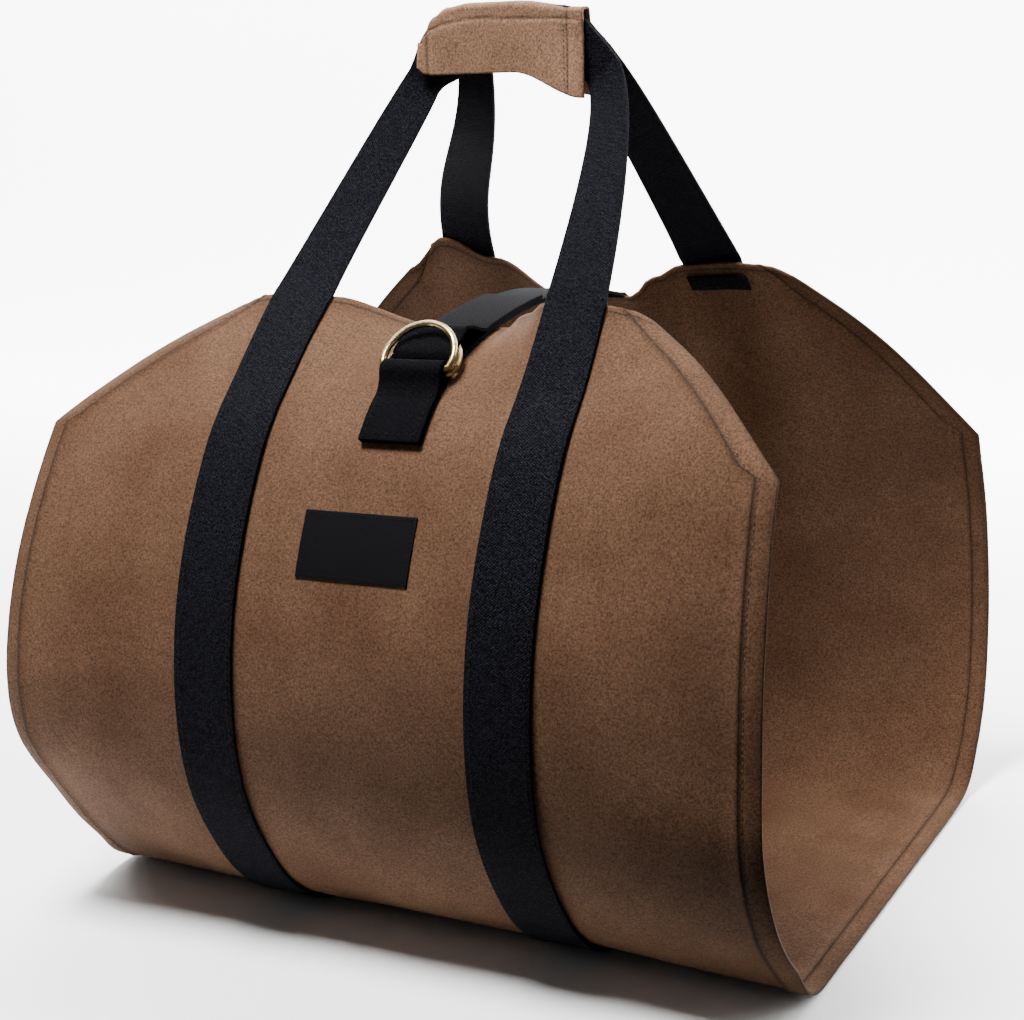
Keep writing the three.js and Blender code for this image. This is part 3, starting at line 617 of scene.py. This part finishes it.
def stitches(name, lines, material, thread=THREAD_MM, length=STITCH_MM, gap=STITCH_GAP):
    """Stitches along lines of (point, normal) pairs in mm, all in one mesh."""
    bm = bmesh.new()
    for line in lines:
        reached = [0.0]
        for (p, _), (q, _) in zip(line, line[1:]):
            reached.append(reached[-1] + (q - p).length)
        count = int(reached[-1] / length)
        k = 0
        for number in range(count):
            middle = (number + 0.5) * reached[-1] / count
            while reached[k + 1] < middle:
                k += 1
            share = (middle - reached[k]) / max(1e-6, reached[k + 1] - reached[k])
            point = line[k][0].lerp(line[k + 1][0], share)
            normal = line[k][1].lerp(line[k + 1][1], share).normalized()
            run = (line[k + 1][0] - line[k][0]).normalized()
            side = normal.cross(run).normalized()
            turn = Matrix((run, side, normal)).transposed().to_4x4()
            size = Matrix.Diagonal(((length - gap) / 2 * MM, thread / 2 * MM, thread / 2 * MM, 1))
            place = Matrix.Translation(in_frame(point + normal * thread * THREAD_PROUD)) @ turn @ size
            bmesh.ops.create_icosphere(bm, subdivisions=1, radius=1, matrix=place)
    made = object_from(bm, name)
    made.data.materials.append(material)
    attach(made, "root")
    return made


thread_brown, tree, shader = new_material("waxed brown thread")
shader.inputs["Base Color"].default_value = linear("#3b2417")
shader.inputs["Roughness"].default_value = 0.6


def hem_line(inset):
    """Both sides with their cut corners at one distance from the edge, as (along, across) pairs."""
    places = stations([RIM, CORNER_DROP, cloth_length - CORNER_DROP, cloth_length - RIM], HEM_LINE_STEP)
    side = [(along, half_width_at(along) - inset * slant_at(along)) for along in places]
    return [side, [(along, -across) for along, across in side]]


def on_canvas(line):
    return [(canvas_point(a, b), cloth_normal(a, b)) for a, b in line]


hem_lines = [on_canvas(line) for line in hem_line(HEM_SHOWN - STITCH_IN_HEM)]
hem_stitches = stitches("hem_stitches", hem_lines, thread_brown)

# The webbing: one closed length of 38 mm black nylon. It is sewn round the outside of the canvas on
# both sides, with a line of stitches near each edge, and runs on up into the handles. Their four
# legs are drawn narrower towards the grip, where both handles lie side by side.

WEBBING_RIB_MM = 1.5
FIBRE_MM = 1.1


def webbing_material(name, dark, light):
    """Nylon webbing: dark ribs, with a painted blue sheen in the colour of the yarn that lies on top."""
    material, tree, shader = new_material(name)
    place = node(tree, "TexCoord").outputs["Object"]
    twill = weave_height(tree, WEBBING_RIB_MM * 2, WEBBING_RIB_MM * 2, 0.5)
    ribs = weave_height(tree, WEBBING_RIB_MM, WEBBING_RIB_MM * 1.4)
    fibre = node(tree, "TexNoise", Vector=place, Scale=1 / (FIBRE_MM * MM), Roughness=0.8).outputs[0]
    fibre = node(tree, "MapRange", Value=fibre, From_Min=0.42, From_Max=0.72).outputs[0]
    # The lighter, bluer colour on the rib tops and fibres is partly the weave's own pattern and partly
    # painted sheen.
    lit = node(tree, "Math", {"operation": "MULTIPLY"}, at0=ribs, at1=fibre).outputs[0]
    tone = node(tree, "Mix", {"data_type": "RGBA"}, at0=lit, at6=linear(dark), at7=linear(light)).outputs[2]
    tree.links.new(tone, shader.inputs["Base Color"])
    coarse = node(tree, "Bump", Height=twill, Distance=0.3 * MM, Strength=0.5).outputs[0]
    fine = node(tree, "Bump", Height=ribs, Distance=0.25 * MM, Strength=0.8, Normal=coarse).outputs[0]
    tree.links.new(fine, shader.inputs["Normal"])
    shader.inputs["Roughness"].default_value = 0.85
    shader.inputs["Specular IOR Level"].default_value = 0.03
    return material


nylon_webbing = webbing_material("black nylon webbing", "#020203", "#2c2c35")
thread_black, tree, shader = new_material("black polyester thread")
shader.inputs["Base Color"].default_value = linear("#060607")
shader.inputs["Roughness"].default_value = 0.7
shader.inputs["Specular IOR Level"].default_value = 0.1

GRIP_LENGTH = 119
GRIP_CENTRE_Y = 51
GRIP_CENTRE_Z = 485.5
GRIP_YAW = math.radians(-8)
GRIP_SQUEEZE = 0.92
GRIP_BEND = {-1: 36, 1: 20}
GRIP_SINK = {-1: 22, 1: 9}
GRIP_PAST_RIGHT = 9
LEG_SPREAD = 0.05
BACK_ENTRY = -22
FOLD_CORNER = 1.2
RUN_STEP = 4

LEGS = {
    # panel, side: how far it goes straight up, then straight in, as shares of its reach
    ("front", -1): (0.30, 0.12),
    ("front", 1): (0.30, 0.14),
    ("back", -1): (0.30, 0.30),
    ("back", 1): (0.12, 0.10),
}

LEG_STEPS = 44
LEG_CROWD = 1.3
LEG_NARROW = 0.64
NARROW_REACH = 16
SETTLE_FROM = 0.05
SETTLE_OVER = 0.95
SLOPE_OVER = 0.25
UP = Vector((0, 0, 1))

grip_axis = Vector((math.cos(GRIP_YAW), math.sin(GRIP_YAW), 0))
grip_front = grip_axis.cross(UP)
grip_half = GRIP_LENGTH / 2
squeezed_half = strap_half * GRIP_SQUEEZE
webbing_apart = (WEBBING_THICK + SEAT) / 2


def grip_point(along):
    side = -1 if along < 0 else 1
    bent = max(0.0, abs(along) - (grip_half - GRIP_BEND[side])) / GRIP_BEND[side]
    return Vector((0, GRIP_CENTRE_Y, GRIP_CENTRE_Z - GRIP_SINK[side] * bent ** 2)) + grip_axis * along


def grip_step(along, offset):
    """Where the webbing runs in the grip: its middle, its direction, its width and its squeeze."""
    tangent = (grip_point(along + 1) - grip_point(along - 1)).normalized()
    drawn_in = smooth((abs(along) - grip_half + NARROW_REACH) / NARROW_REACH)
    squeeze = GRIP_SQUEEZE + (LEG_NARROW - GRIP_SQUEEZE) * drawn_in
    return grip_point(along) + grip_front * offset, tangent, grip_front.cross(tangent), squeeze


def grip_end(side, offset):
    along = -grip_half if side < 0 else grip_half + GRIP_PAST_RIGHT
    centre, tangent, high, _ = grip_step(along, offset)
    spread = LEG_SPREAD if offset > 0 else -LEG_SPREAD
    return centre, (tangent * side + grip_front * spread).normalized(), high


def past(share, start, over):
    return smooth((share - start) / over)


def leg_steps(side, panel, end):
    """A leg of the handle from the end of its strap up to the grip, as steps like grip_step's."""
    end_centre, leaving, end_width = end
    rise, lead = LEGS[panel, side]
    along, inward = (0, 1) if panel == "front" else (cloth_length, -1)
    across = side * WEBBING_SPREAD
    middle = cloth(along, across)
    rising = (middle - cloth(along + inward * 2, across)).normalized()
    outer_side = cloth(along, across + side * strap_half)
    inner_side = cloth(along, across - side * strap_half)
    edge = (outer_side - inner_side) / WEBBING_WIDTH
    start = (outer_side + inner_side) / 2
    bulge = max(0.0, (middle - start).dot(rising))
    start = start + cloth_normal(along, across) * (SEAT + WEBBING_THICK / 2) + rising * (SEAT + bulge)
    slope = edge.dot(rising) / (edge - rising * edge.dot(rising)).length
    reach = (end_centre - start).length
    a, b, c, d = start, start + rising * rise * reach, end_centre + leaving * lead * reach, end_centre
    width = edge
    steps = []
    for i in range(LEG_STEPS + 1):
        t = 1 - (1 - i / LEG_STEPS) ** LEG_CROWD
        centre = a * (1 - t) ** 3 + b * (3 * t * (1 - t) ** 2) + c * (3 * t * t * (1 - t)) + d * t ** 3
        tangent = ((b - a) * (1 - t) ** 2 + (c - b) * (2 * t * (1 - t)) + (d - c) * t * t).normalized()
        width = (width - tangent * width.dot(tangent)).normalized()
        steps.append((centre, tangent, width, t))
    _, last, turned_width, _ = steps[-1]
    target = end_width - last * end_width.dot(last)
    settle = math.atan2(turned_width.cross(target).dot(last), turned_width.dot(target))
    out = []
    for centre, tangent, width, t in steps:
        turned = Matrix.Rotation(settle * past(t, SETTLE_FROM, SETTLE_OVER), 3, tangent) @ width
        turned = turned + tangent * (slope * (1 - past(t, 0, SLOPE_OVER)))
        out.append((centre, tangent, turned, 1 - (1 - LEG_NARROW) * t))
    return out


WEBBING_COLUMNS = 11


def across_shares():
    return [2 * j / (WEBBING_COLUMNS - 1) - 1 for j in range(WEBBING_COLUMNS)]


def rows_of(steps):
    return [[centre + width * (strap_half * squeeze * share) for share in across_shares()]
            for centre, _, width, squeeze in steps]


def sewn_point(along, across, above=0.0):
    return cloth(along, across) + cloth_normal(along, across) * (SEAT + WEBBING_THICK / 2 + above)


def sewn_rows(side, places):
    return [[sewn_point(along, side * (WEBBING_SPREAD + share * strap_half)) for share in across_shares()]
            for along in places]


SELVAGE = 0.6


def ribbon(name, rows, material=nylon_webbing):
    """A length of webbing through rows of points on its middle layer."""
    reached = [0.0]
    half = len(rows[0]) // 2
    for low, high in zip(rows, rows[1:]):
        reached.append(reached[-1] + (high[half] - low[half]).length)
    wide = (rows[0][-1] - rows[0][0]).length

    def place(i, j):
        return rows[i][j], reached[i], wide * j / (len(rows[0]) - 1)

    made = strip(name, len(rows), len(rows[0]), place)
    thicken(made, WEBBING_THICK, 0, SELVAGE)
    made.data.materials.append(material)
    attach(made, "root")
    return made


strap_rows = stations([0, HEM, HEM + HEM_STEP, cloth_length / 2, cloth_length - HEM - HEM_STEP,
                       cloth_length - HEM, cloth_length], RUN_STEP)
to_front = [along for along in strap_rows if along <= cloth_length / 2][::-1]
from_back = [along for along in strap_rows if along >= cloth_length / 2][::-1]

run_end = grip_half + GRIP_PAST_RIGHT
front_run = [grip_step(a, webbing_apart) for a in stations([-grip_half, run_end], RUN_STEP)]
back_start = BACK_ENTRY + squeezed_half + SEAT
back_run = [grip_step(a, -webbing_apart) for a in stations([back_start, run_end], RUN_STEP)]
corner_centre = grip_point(BACK_ENTRY) - grip_front * webbing_apart
corner = (corner_centre, None, (UP - grip_axis).normalized(), GRIP_SQUEEZE * FOLD_CORNER)
entry = (corner_centre - UP * (squeezed_half + SEAT), -UP, -grip_axis)

front_left = rows_of(leg_steps(-1, "front", grip_end(-1, webbing_apart)))[1:]
front_right = rows_of(leg_steps(1, "front", grip_end(1, webbing_apart)))[1:]
back_left = rows_of(leg_steps(-1, "back", entry))[1:]
back_right = rows_of(leg_steps(1, "back", grip_end(1, -webbing_apart)))[1:]

webbing_rows = sewn_rows(-1, to_front) + front_left + rows_of(front_run)[1:-1] + front_right[::-1]
webbing_rows += sewn_rows(1, strap_rows) + back_right + rows_of(back_run)[1:-1][::-1]
webbing_rows += rows_of([corner]) + back_left[::-1] + sewn_rows(-1, from_back)

webbing_run = ribbon("webbing_run", webbing_rows)
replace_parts(webbing_run, "strap_left", "strap_right", "handle_front", "handle_back")

STRAP_STITCH_INSET = 3

stitch_insets = (STRAP_STITCH_INSET - strap_half, strap_half - STRAP_STITCH_INSET)
strap_lines = []
for side in (-1, 1):
    for inset in stitch_insets:
        across = side * (WEBBING_SPREAD + inset)
        strap_lines.append([(sewn_point(a, across, WEBBING_THICK / 2), cloth_normal(a, across))
                            for a in strap_rows])
strap_stitches = stitches("strap_stitches", strap_lines, thread_black)

# A short end of webbing is laid inside the right back rim only, as wide as the strap.

INNER_FROM_EDGE = 8
INNER_TO = 18

inner_out = SHEET_WALL + SEAT + WEBBING_THICK / 2
inner_rows = []
for along in stations([cloth_length - INNER_TO, cloth_length - INNER_FROM_EDGE], RUN_STEP):
    acrosses = [WEBBING_SPREAD + share * strap_half for share in across_shares()]
    inner_rows.append([cloth(along, b) - cloth_normal(along, b) * inner_out for b in acrosses])
ribbon("inner_end", inner_rows)

# The grip: one piece of the same canvas, paler where it is handled, rolled round both webbings. Its
# free edge is lapped over the front just under the top, and a double line closes its right end.

GRIP_WALL = 1.6
GRIP_OVERHANG = 1
LAP_BELOW_TOP = 6
LAP_PROUD = 0.9
END_SEAM = 11
END_SEAM_APART = 2.4
CORNER_FOLD = 7
GRIP_STEP = 2
FLAP_STEP = 1.6

GRIP_OUTLINE = [
    # along as a share of half the length; then shares of the webbing's width:
    # top drop, foot drop, flare
    (-1.00, 0.560, -0.120, 0.060),
    (-0.92, 0.330, -0.020, 0.040),
    (-0.82, 0.150, 0.000, 0.020),
    (-0.64, 0.040, 0.000, 0.000),
    (-0.40, 0.000, 0.000, 0.000),
    (0.15, 0.000, 0.000, 0.000),
    (1.00, 0.120, 0.400, 0.090),
]

grip_side = WEBBING_THICK + SEAT * 1.5 + GRIP_WALL / 2
grip_foot = -squeezed_half - GRIP_OVERHANG
lap_height = squeezed_half - LAP_BELOW_TOP
flap_heights = stations([grip_foot, grip_foot + 1, lap_height - 2, lap_height, lap_height + 2,
                         squeezed_half], FLAP_STEP)
grip_line = [(grip_side, height, 0) for height in flap_heights]
for turn in [math.radians(degrees) for degrees in range(15, 180, 15)]:
    grip_line.append((grip_side * math.cos(turn), squeezed_half + grip_side * math.sin(turn), turn))
grip_line += [(-grip_side, height, math.pi) for height in flap_heights[::-1]]
grip_places = stations([-grip_half, CORNER_FOLD - grip_half, grip_half - END_SEAM - END_SEAM_APART,
                        grip_half - END_SEAM, grip_half], GRIP_STEP)

LAP_STEP = 1.2
LAP_GROOVE = 0.5
LAP_WANDER = 0.6
LAP_WANDER_MM = 9
LAP_ENDS = 5
SEAM_GROOVE = 0.55
FOLD_GROOVE = 0.5
FOLD_REACH = 1.1
LINE_REACH = 0.9
FRONT_TURN = 1.2
GRIP_PULL = (0.5, 26, 18, 0)
GRIP_WRINKLE = (0.15, 9, 9, 4)


def below_lap(along, height):
    """How far down the front a place lies from the lap's edge, which wanders a little."""
    return squeezed_half - height - LAP_WANDER * math.sin(along / LAP_WANDER_MM) - LAP_BELOW_TOP


def on_front(turn):
    return 1 - smooth(turn / FRONT_TURN)


def grip_relief(along, height, turn):
    """How far the grip's cloth stands out: the lap, the end seam, the left fold, pulls and wrinkles."""
    below = below_lap(along, height)
    lap = LAP_PROUD * smooth((below + LAP_STEP / 2) / LAP_STEP) - LAP_GROOVE * ridge(below, LINE_REACH)
    out = lap * on_front(turn) * smooth((grip_half - along) / LAP_ENDS)
    for line in (END_SEAM, END_SEAM + END_SEAM_APART):
        out -= SEAM_GROOVE * ridge(grip_half - along - line, LINE_REACH)
    out -= FOLD_GROOVE * ridge(along + grip_half - CORNER_FOLD, FOLD_REACH) * on_front(turn)
    return out + wave(GRIP_PULL, along, height, turn) + wave(GRIP_WRINKLE, along, height, turn)


def grip_cloth_point(along, aside, above):
    share = along / grip_half
    low = min(1.0, max(0.0, -above / squeezed_half))
    if above < 0:
        drop = read_table(GRIP_OUTLINE, share, 2) * WEBBING_WIDTH * low
    else:
        drop = read_table(GRIP_OUTLINE, share, 1) * WEBBING_WIDTH * above / squeezed_half
    flare = read_table(GRIP_OUTLINE, share, 3) * WEBBING_WIDTH * low
    point = Vector((0, GRIP_CENTRE_Y, GRIP_CENTRE_Z + above - drop)) + grip_axis * along
    return point + grip_front * (aside + math.copysign(flare, aside))


def grip_surface(along, j, lift=0.0):
    aside, height, turn = grip_line[j]
    out = grip_relief(along, height, turn) + lift
    return grip_cloth_point(along, aside + out * math.cos(turn), height + out * math.sin(turn))


grip_reached = [0.0]
for (a_out, a_up, _), (b_out, b_up, _) in zip(grip_line, grip_line[1:]):
    grip_reached.append(grip_reached[-1] + math.hypot(b_out - a_out, b_up - a_up))


def place_grip(i, j):
    return grip_surface(grip_places[i], j), grip_places[i], grip_reached[j]


LAP_DARK = 0.8
END_DARK = 0.6
FOLD_DARK = 0.7


def grip_shade(i, j):
    """Painted shade under the lap's edge, along the end seam and in the fold of the left end."""
    along = grip_places[i]
    _, height, turn = grip_line[j]
    lap = LAP_DARK * on_front(turn) * ridge(below_lap(along, height), LINE_REACH)
    painted_shade = END_DARK * ridge(grip_half - along - END_SEAM, LINE_REACH)
    fold = FOLD_DARK * on_front(turn) * ridge(along + grip_half - CORNER_FOLD, LINE_REACH)
    return min(1.0, lap + painted_shade + fold)


grip_wrap = strip("grip_cloth", len(grip_places), len(grip_line), place_grip, grip_shade)
thicken(grip_wrap, GRIP_WALL - SEAT, 0)

# Brushed canvas: the same cloth with its wax rubbed off by hands, so it is paler and softer.

grip_canvas = canvas_material("brushed canvas", "#82604a", "#95735b", 0.03)
grip_wrap.data.materials.append(grip_canvas)
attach(grip_wrap, "root")
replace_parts(grip_wrap, "grip_wrap")

end_lines = []
front_flap = range(2, len(flap_heights))
for line in (END_SEAM, END_SEAM + END_SEAM_APART):
    end_lines.append([(grip_surface(grip_half - line, j, GRIP_WALL / 2), grip_front) for j in front_flap])
end_stitches = stitches("grip_stitches", end_lines, thread_brown, length=2.8)

# The ring tab: a short length of webbing of a deeper black, folded round the bars of both rings and
# sewn down to the front panel with a box of stitches.

CLOSURE_ACROSS = 7
TAB_LENGTH = 35
TAB_FROM_EDGE = 60
TAB_BAR_ABOVE = 2.2
TAB_NECK_BELOW = 2.1
TAB_NECK_SHARE = 0.86
BOX_FROM_TOP = 5
BOX_FROM_END = 4
RING_WIRE = 3.8

tab_top = cloth(TAB_FROM_EDGE, CLOSURE_ACROSS)
tab_normal = cloth_normal(TAB_FROM_EDGE, CLOSURE_ACROSS)
tab_rise = (cloth(TAB_FROM_EDGE - 2, CLOSURE_ACROSS) - tab_top).normalized()
wire_radius = RING_WIRE / 2
layer = WEBBING_THICK + SEAT
under_out = SEAT + WEBBING_THICK / 2
fold_wide = wire_radius + SEAT * 4 + WEBBING_THICK / 2
bar_rise = fold_wide * TAB_BAR_ABOVE
lower_bar_out = layer + SEAT + wire_radius
upper_bar_out = lower_bar_out + RING_WIRE + SEAT


def closure_point(rise, out):
    """A place above the tab's top, with rise measured up along the cloth and out away from it."""
    return tab_top + tab_rise * rise + tab_normal * out


def off_cloth(along, out):
    return cloth(along, CLOSURE_ACROSS) + cloth_normal(along, CLOSURE_ACROSS) * out


def straight_rows(points, pieces=3):
    """Rows of webbing that lies square to X, along a smooth line through the points."""
    count = pieces * (len(points) - 1)
    line = [spline_point(points, k / count) for k in range(count + 1)]
    return [[point + Vector((strap_half * share, 0, 0)) for share in across_shares()] for point in line]


tab_sewn = stations([TAB_FROM_EDGE, TAB_FROM_EDGE + TAB_LENGTH], 6)
fold_middle = (lower_bar_out + upper_bar_out) / 2 + SEAT
fold_tall = fold_middle - under_out
tab_points = [off_cloth(along, under_out) for along in tab_sewn[::-1]]
for turn in range(-90, 91, 15):
    angle = math.radians(turn)
    rise = bar_rise + fold_wide * math.cos(angle)
    tab_points.append(closure_point(rise, fold_middle + fold_tall * math.sin(angle)))
tab_points.append(closure_point(bar_rise - fold_wide, fold_middle + fold_tall * TAB_NECK_SHARE))
tab_points.append(closure_point(bar_rise - fold_wide * TAB_NECK_BELOW, fold_middle))
tab_points += [off_cloth(along, under_out + layer) for along in tab_sewn[1:]]
tab_nylon = webbing_material("deep black nylon webbing", "#010102", "#17171c")
ring_tab = ribbon("tab_webbing", straight_rows(tab_points), tab_nylon)
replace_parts(ring_tab, "ring_tab")

tab_box = []
box_out = under_out + layer + WEBBING_THICK / 2
box_alongs = stations([TAB_FROM_EDGE + BOX_FROM_TOP, TAB_FROM_EDGE + TAB_LENGTH - BOX_FROM_END], RUN_STEP)
for inset in stitch_insets:
    shift = Vector((inset, 0, 0))
    tab_box.append([(off_cloth(a, box_out) + shift, cloth_normal(a, CLOSURE_ACROSS)) for a in box_alongs])
for a in (box_alongs[0], box_alongs[-1]):
    ends = [Vector((inset, 0, 0)) for inset in (stitch_insets[0], 0, stitch_insets[1])]
    tab_box.append([(off_cloth(a, box_out) + shift, cloth_normal(a, CLOSURE_ACROSS)) for shift in ends])
tab_stitches = stitches("tab_stitches", tab_box, thread_black)

# The two D-rings: round brass wire bent to a D, antiqued, so it is dark in the hollows and bright
# where it has been rubbed. Both straight bars lie in the tab's fold.

RING_INSIDE = 39.6
RING_REACH = 28
RING_SHOULDER = 0.22
RING_BAR = 0.84
RING_CORNER_ACROSS = 0.96
RING_CORNER_UP = 0.2
WEAR_MM = 6

antique_brass, tree, shader = new_material("antique brass")
place = node(tree, "TexCoord").outputs["Object"]
worn = node(tree, "TexNoise", Vector=place, Scale=1 / (WEAR_MM * MM), Detail=4.0).outputs[0]
worn = node(tree, "MapRange", Value=worn, From_Min=0.35, From_Max=0.65).outputs[0]
brass = node(tree, "Mix", {"data_type": "RGBA"}, at0=worn, at6=linear("#86754e"), at7=linear("#cfbb8c"))
tree.links.new(brass.outputs[2], shader.inputs["Base Color"])
dull = node(tree, "MapRange", Value=worn, To_Min=0.38, To_Max=0.2).outputs[0]
tree.links.new(dull, shader.inputs["Roughness"])
shader.inputs["Metallic"].default_value = 1.0


def d_ring(name, bar_out, tilt):
    """A closed wire: the straight bar, a small corner at each end and a half round above them."""
    lean = math.radians(tilt)
    up = tab_rise * math.cos(lean) + tab_normal * math.sin(lean)
    half = RING_INSIDE / 2 + wire_radius
    shoulder = RING_REACH * RING_SHOULDER
    flat = [(half * share, 0) for share in (-RING_BAR, 0, RING_BAR)]
    flat.append((half * RING_CORNER_ACROSS, shoulder * RING_CORNER_UP))
    for turn in range(0, 181, 5):
        angle = math.radians(turn)
        flat.append((half * math.cos(angle), shoulder + (RING_REACH - shoulder) * math.sin(angle)))
    flat.append((-half * RING_CORNER_ACROSS, shoulder * RING_CORNER_UP))
    wire = bpy.data.curves.new(name, "CURVE")
    wire.dimensions = "3D"
    wire.bevel_depth = wire_radius * MM
    wire.bevel_resolution = 6
    line = wire.splines.new("POLY")
    line.points.add(len(flat) - 1)
    line.use_cyclic_u = True
    for spot, (x, y) in zip(line.points, flat):
        spot.co = (*in_frame(closure_point(bar_rise, bar_out) + Vector((x, 0, 0)) + up * y), 1)
    bent = bpy.data.objects.new(name + "_wire", wire)
    bpy.context.scene.collection.objects.link(bent)
    mesh = bpy.data.meshes.new_from_object(bent.evaluated_get(bpy.context.evaluated_depsgraph_get()))
    bpy.data.objects.remove(bent)
    for face in mesh.polygons:
        face.use_smooth = True
    mesh.materials.clear()
    mesh.materials.append(antique_brass)
    ring = bpy.data.objects.new(name, mesh)
    bpy.context.scene.collection.objects.link(ring)
    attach(ring, "root")
    return ring


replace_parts(d_ring("lower_ring", lower_bar_out, 3), "d_ring_lower")
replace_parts(d_ring("upper_ring", upper_bar_out, 16), "d_ring_upper")

# The closure strap: the tab's webbing, sewn to the back panel. It crosses the load, goes under and
# up through both rings, and its tail comes back between them and lies along it.

SEWN_DOWN = 52
CROWN = 9
TAIL = 112
FOLD_CLEAR = 5
OVER_FRONT = 40
TAIL_STEP = 15
TAIL_TILT = 3
EDGE_TURNS = (20, 45, 70, 90)
CROSSING_SHARES = (0, 0.2, 0.45, 0.75, 1)
FRONT_SHARES = (0.4, 0.8)
CROSSING_PIECES = 4

closure_points = [off_cloth(along, under_out)
                  for along in stations([cloth_length - SEWN_DOWN, cloth_length], TAIL_STEP)]
back_edge = cloth(cloth_length, CLOSURE_ACROSS)
for turn in EDGE_TURNS:
    angle = math.radians(turn)
    closure_points.append(back_edge + Vector((0, under_out * math.cos(angle), under_out * math.sin(angle))))
over_edge = back_edge + Vector((0, -CLOTH_WALL - HEM_FOLD, under_out + SEAT))
tail_out = lower_bar_out + wire_radius + SEAT * 2 + WEBBING_THICK / 2
fold_radius = (tail_out - under_out) / 2
fold_rise = bar_rise + fold_wide + FOLD_CLEAR + fold_radius
over_front = cloth(0, CLOSURE_ACROSS) + Vector((0, 0, under_out + SEAT * 3))
crossing = []
for share in CROSSING_SHARES:
    crossing.append(over_edge.lerp(over_front, share) + Vector((0, 0, CROWN * math.sin(math.pi * share))))
crossing += [off_cloth(OVER_FRONT * share, under_out + SEAT * 2) for share in FRONT_SHARES]
crossing.append(closure_point(fold_rise, under_out))
crossing_count = CROSSING_PIECES * (len(crossing) - 1)
main = [spline_point(crossing, k / crossing_count) for k in range(crossing_count + 1)]
closure_points += main
for turn in range(-60, 61, 30):
    angle = math.radians(turn)
    rise = fold_rise - fold_radius * math.cos(angle)
    closure_points.append(closure_point(rise, under_out + fold_radius + fold_radius * math.sin(angle)))
ring_end = bar_rise + RING_REACH + RING_WIRE
ring_slope = math.tan(math.radians(TAIL_TILT))
for rise in stations([fold_rise, ring_end], TAIL_STEP / 2):
    closure_points.append(closure_point(rise, tail_out + (rise - bar_rise) * ring_slope))
travelled = 0.0
for here, before in zip(main[:0:-1], main[-2::-1]):
    if travelled >= TAIL:
        break
    run = before - here
    if travelled > ring_end - fold_rise + TAIL_STEP:
        closure_points.append(here + Vector((1, 0, 0)).cross(run).normalized() * layer)
    travelled += run.length
closure_strap = ribbon("closure_webbing", straight_rows(closure_points), tab_nylon)
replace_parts(closure_strap, "closure_strap")

# The label: a small woven patch, black satin, bare, with its edges turned under and sewn all round.

LABEL_ACROSS = -1
LABEL_WIDTH = 70
LABEL_HEIGHT = 37
LABEL_THICK = 0.8
LABEL_FROM_EDGE = 134
LABEL_INSET = 2
LABEL_YARN_MM = 1.1

label_alongs = stations([LABEL_FROM_EDGE, LABEL_FROM_EDGE + 1, LABEL_FROM_EDGE + LABEL_HEIGHT - 1,
                         LABEL_FROM_EDGE + LABEL_HEIGHT], 2)
label_acrosses = stations([LABEL_ACROSS - LABEL_WIDTH / 2, LABEL_ACROSS + LABEL_WIDTH / 2], 2)


def label_point(along, across, above):
    return canvas_point(along, across) + cloth_normal(along, across) * (SEAT + above)


def place_label(i, j):
    return label_point(label_alongs[i], label_acrosses[j], LABEL_THICK), label_alongs[i], label_acrosses[j]


label_patch = strip("woven_label", len(label_alongs), len(label_acrosses), place_label)
thicken(label_patch, LABEL_THICK, -1, 0.35)
black_satin, tree, shader = new_material("black satin weave")
yarn = weave_height(tree, LABEL_YARN_MM, LABEL_YARN_MM * 3, 0.3)
satin = node(tree, "Mix", {"data_type": "RGBA"}, at0=yarn, at6=linear("#020203"), at7=linear("#0d0d10"))
tree.links.new(satin.outputs[2], shader.inputs["Base Color"])
lines = node(tree, "Bump", Height=yarn, Distance=0.15 * MM, Strength=0.6).outputs[0]
tree.links.new(lines, shader.inputs["Normal"])
shader.inputs["Roughness"].default_value = 0.6
shader.inputs["Specular IOR Level"].default_value = 0.05
label_patch.data.materials.append(black_satin)
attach(label_patch, "root")
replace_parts(label_patch, "label_patch")

label_lines = []
low_along, high_along = LABEL_FROM_EDGE + LABEL_INSET, LABEL_FROM_EDGE + LABEL_HEIGHT - LABEL_INSET
low_across, high_across = label_acrosses[0] + LABEL_INSET, label_acrosses[-1] - LABEL_INSET
label_sides = [[(a, low_across) for a in stations([low_along, high_along], 3)],
               [(a, high_across) for a in stations([low_along, high_along], 3)],
               [(low_along, b) for b in stations([low_across, high_across], 3)],
               [(high_along, b) for b in stations([low_across, high_across], 3)]]
for side in label_sides:
    label_lines.append([(label_point(a, b, LABEL_THICK), cloth_normal(a, b)) for a, b in side])
label_stitches = stitches("label_stitches", label_lines, thread_black, thread=0.45, length=2.4, gap=0.6)
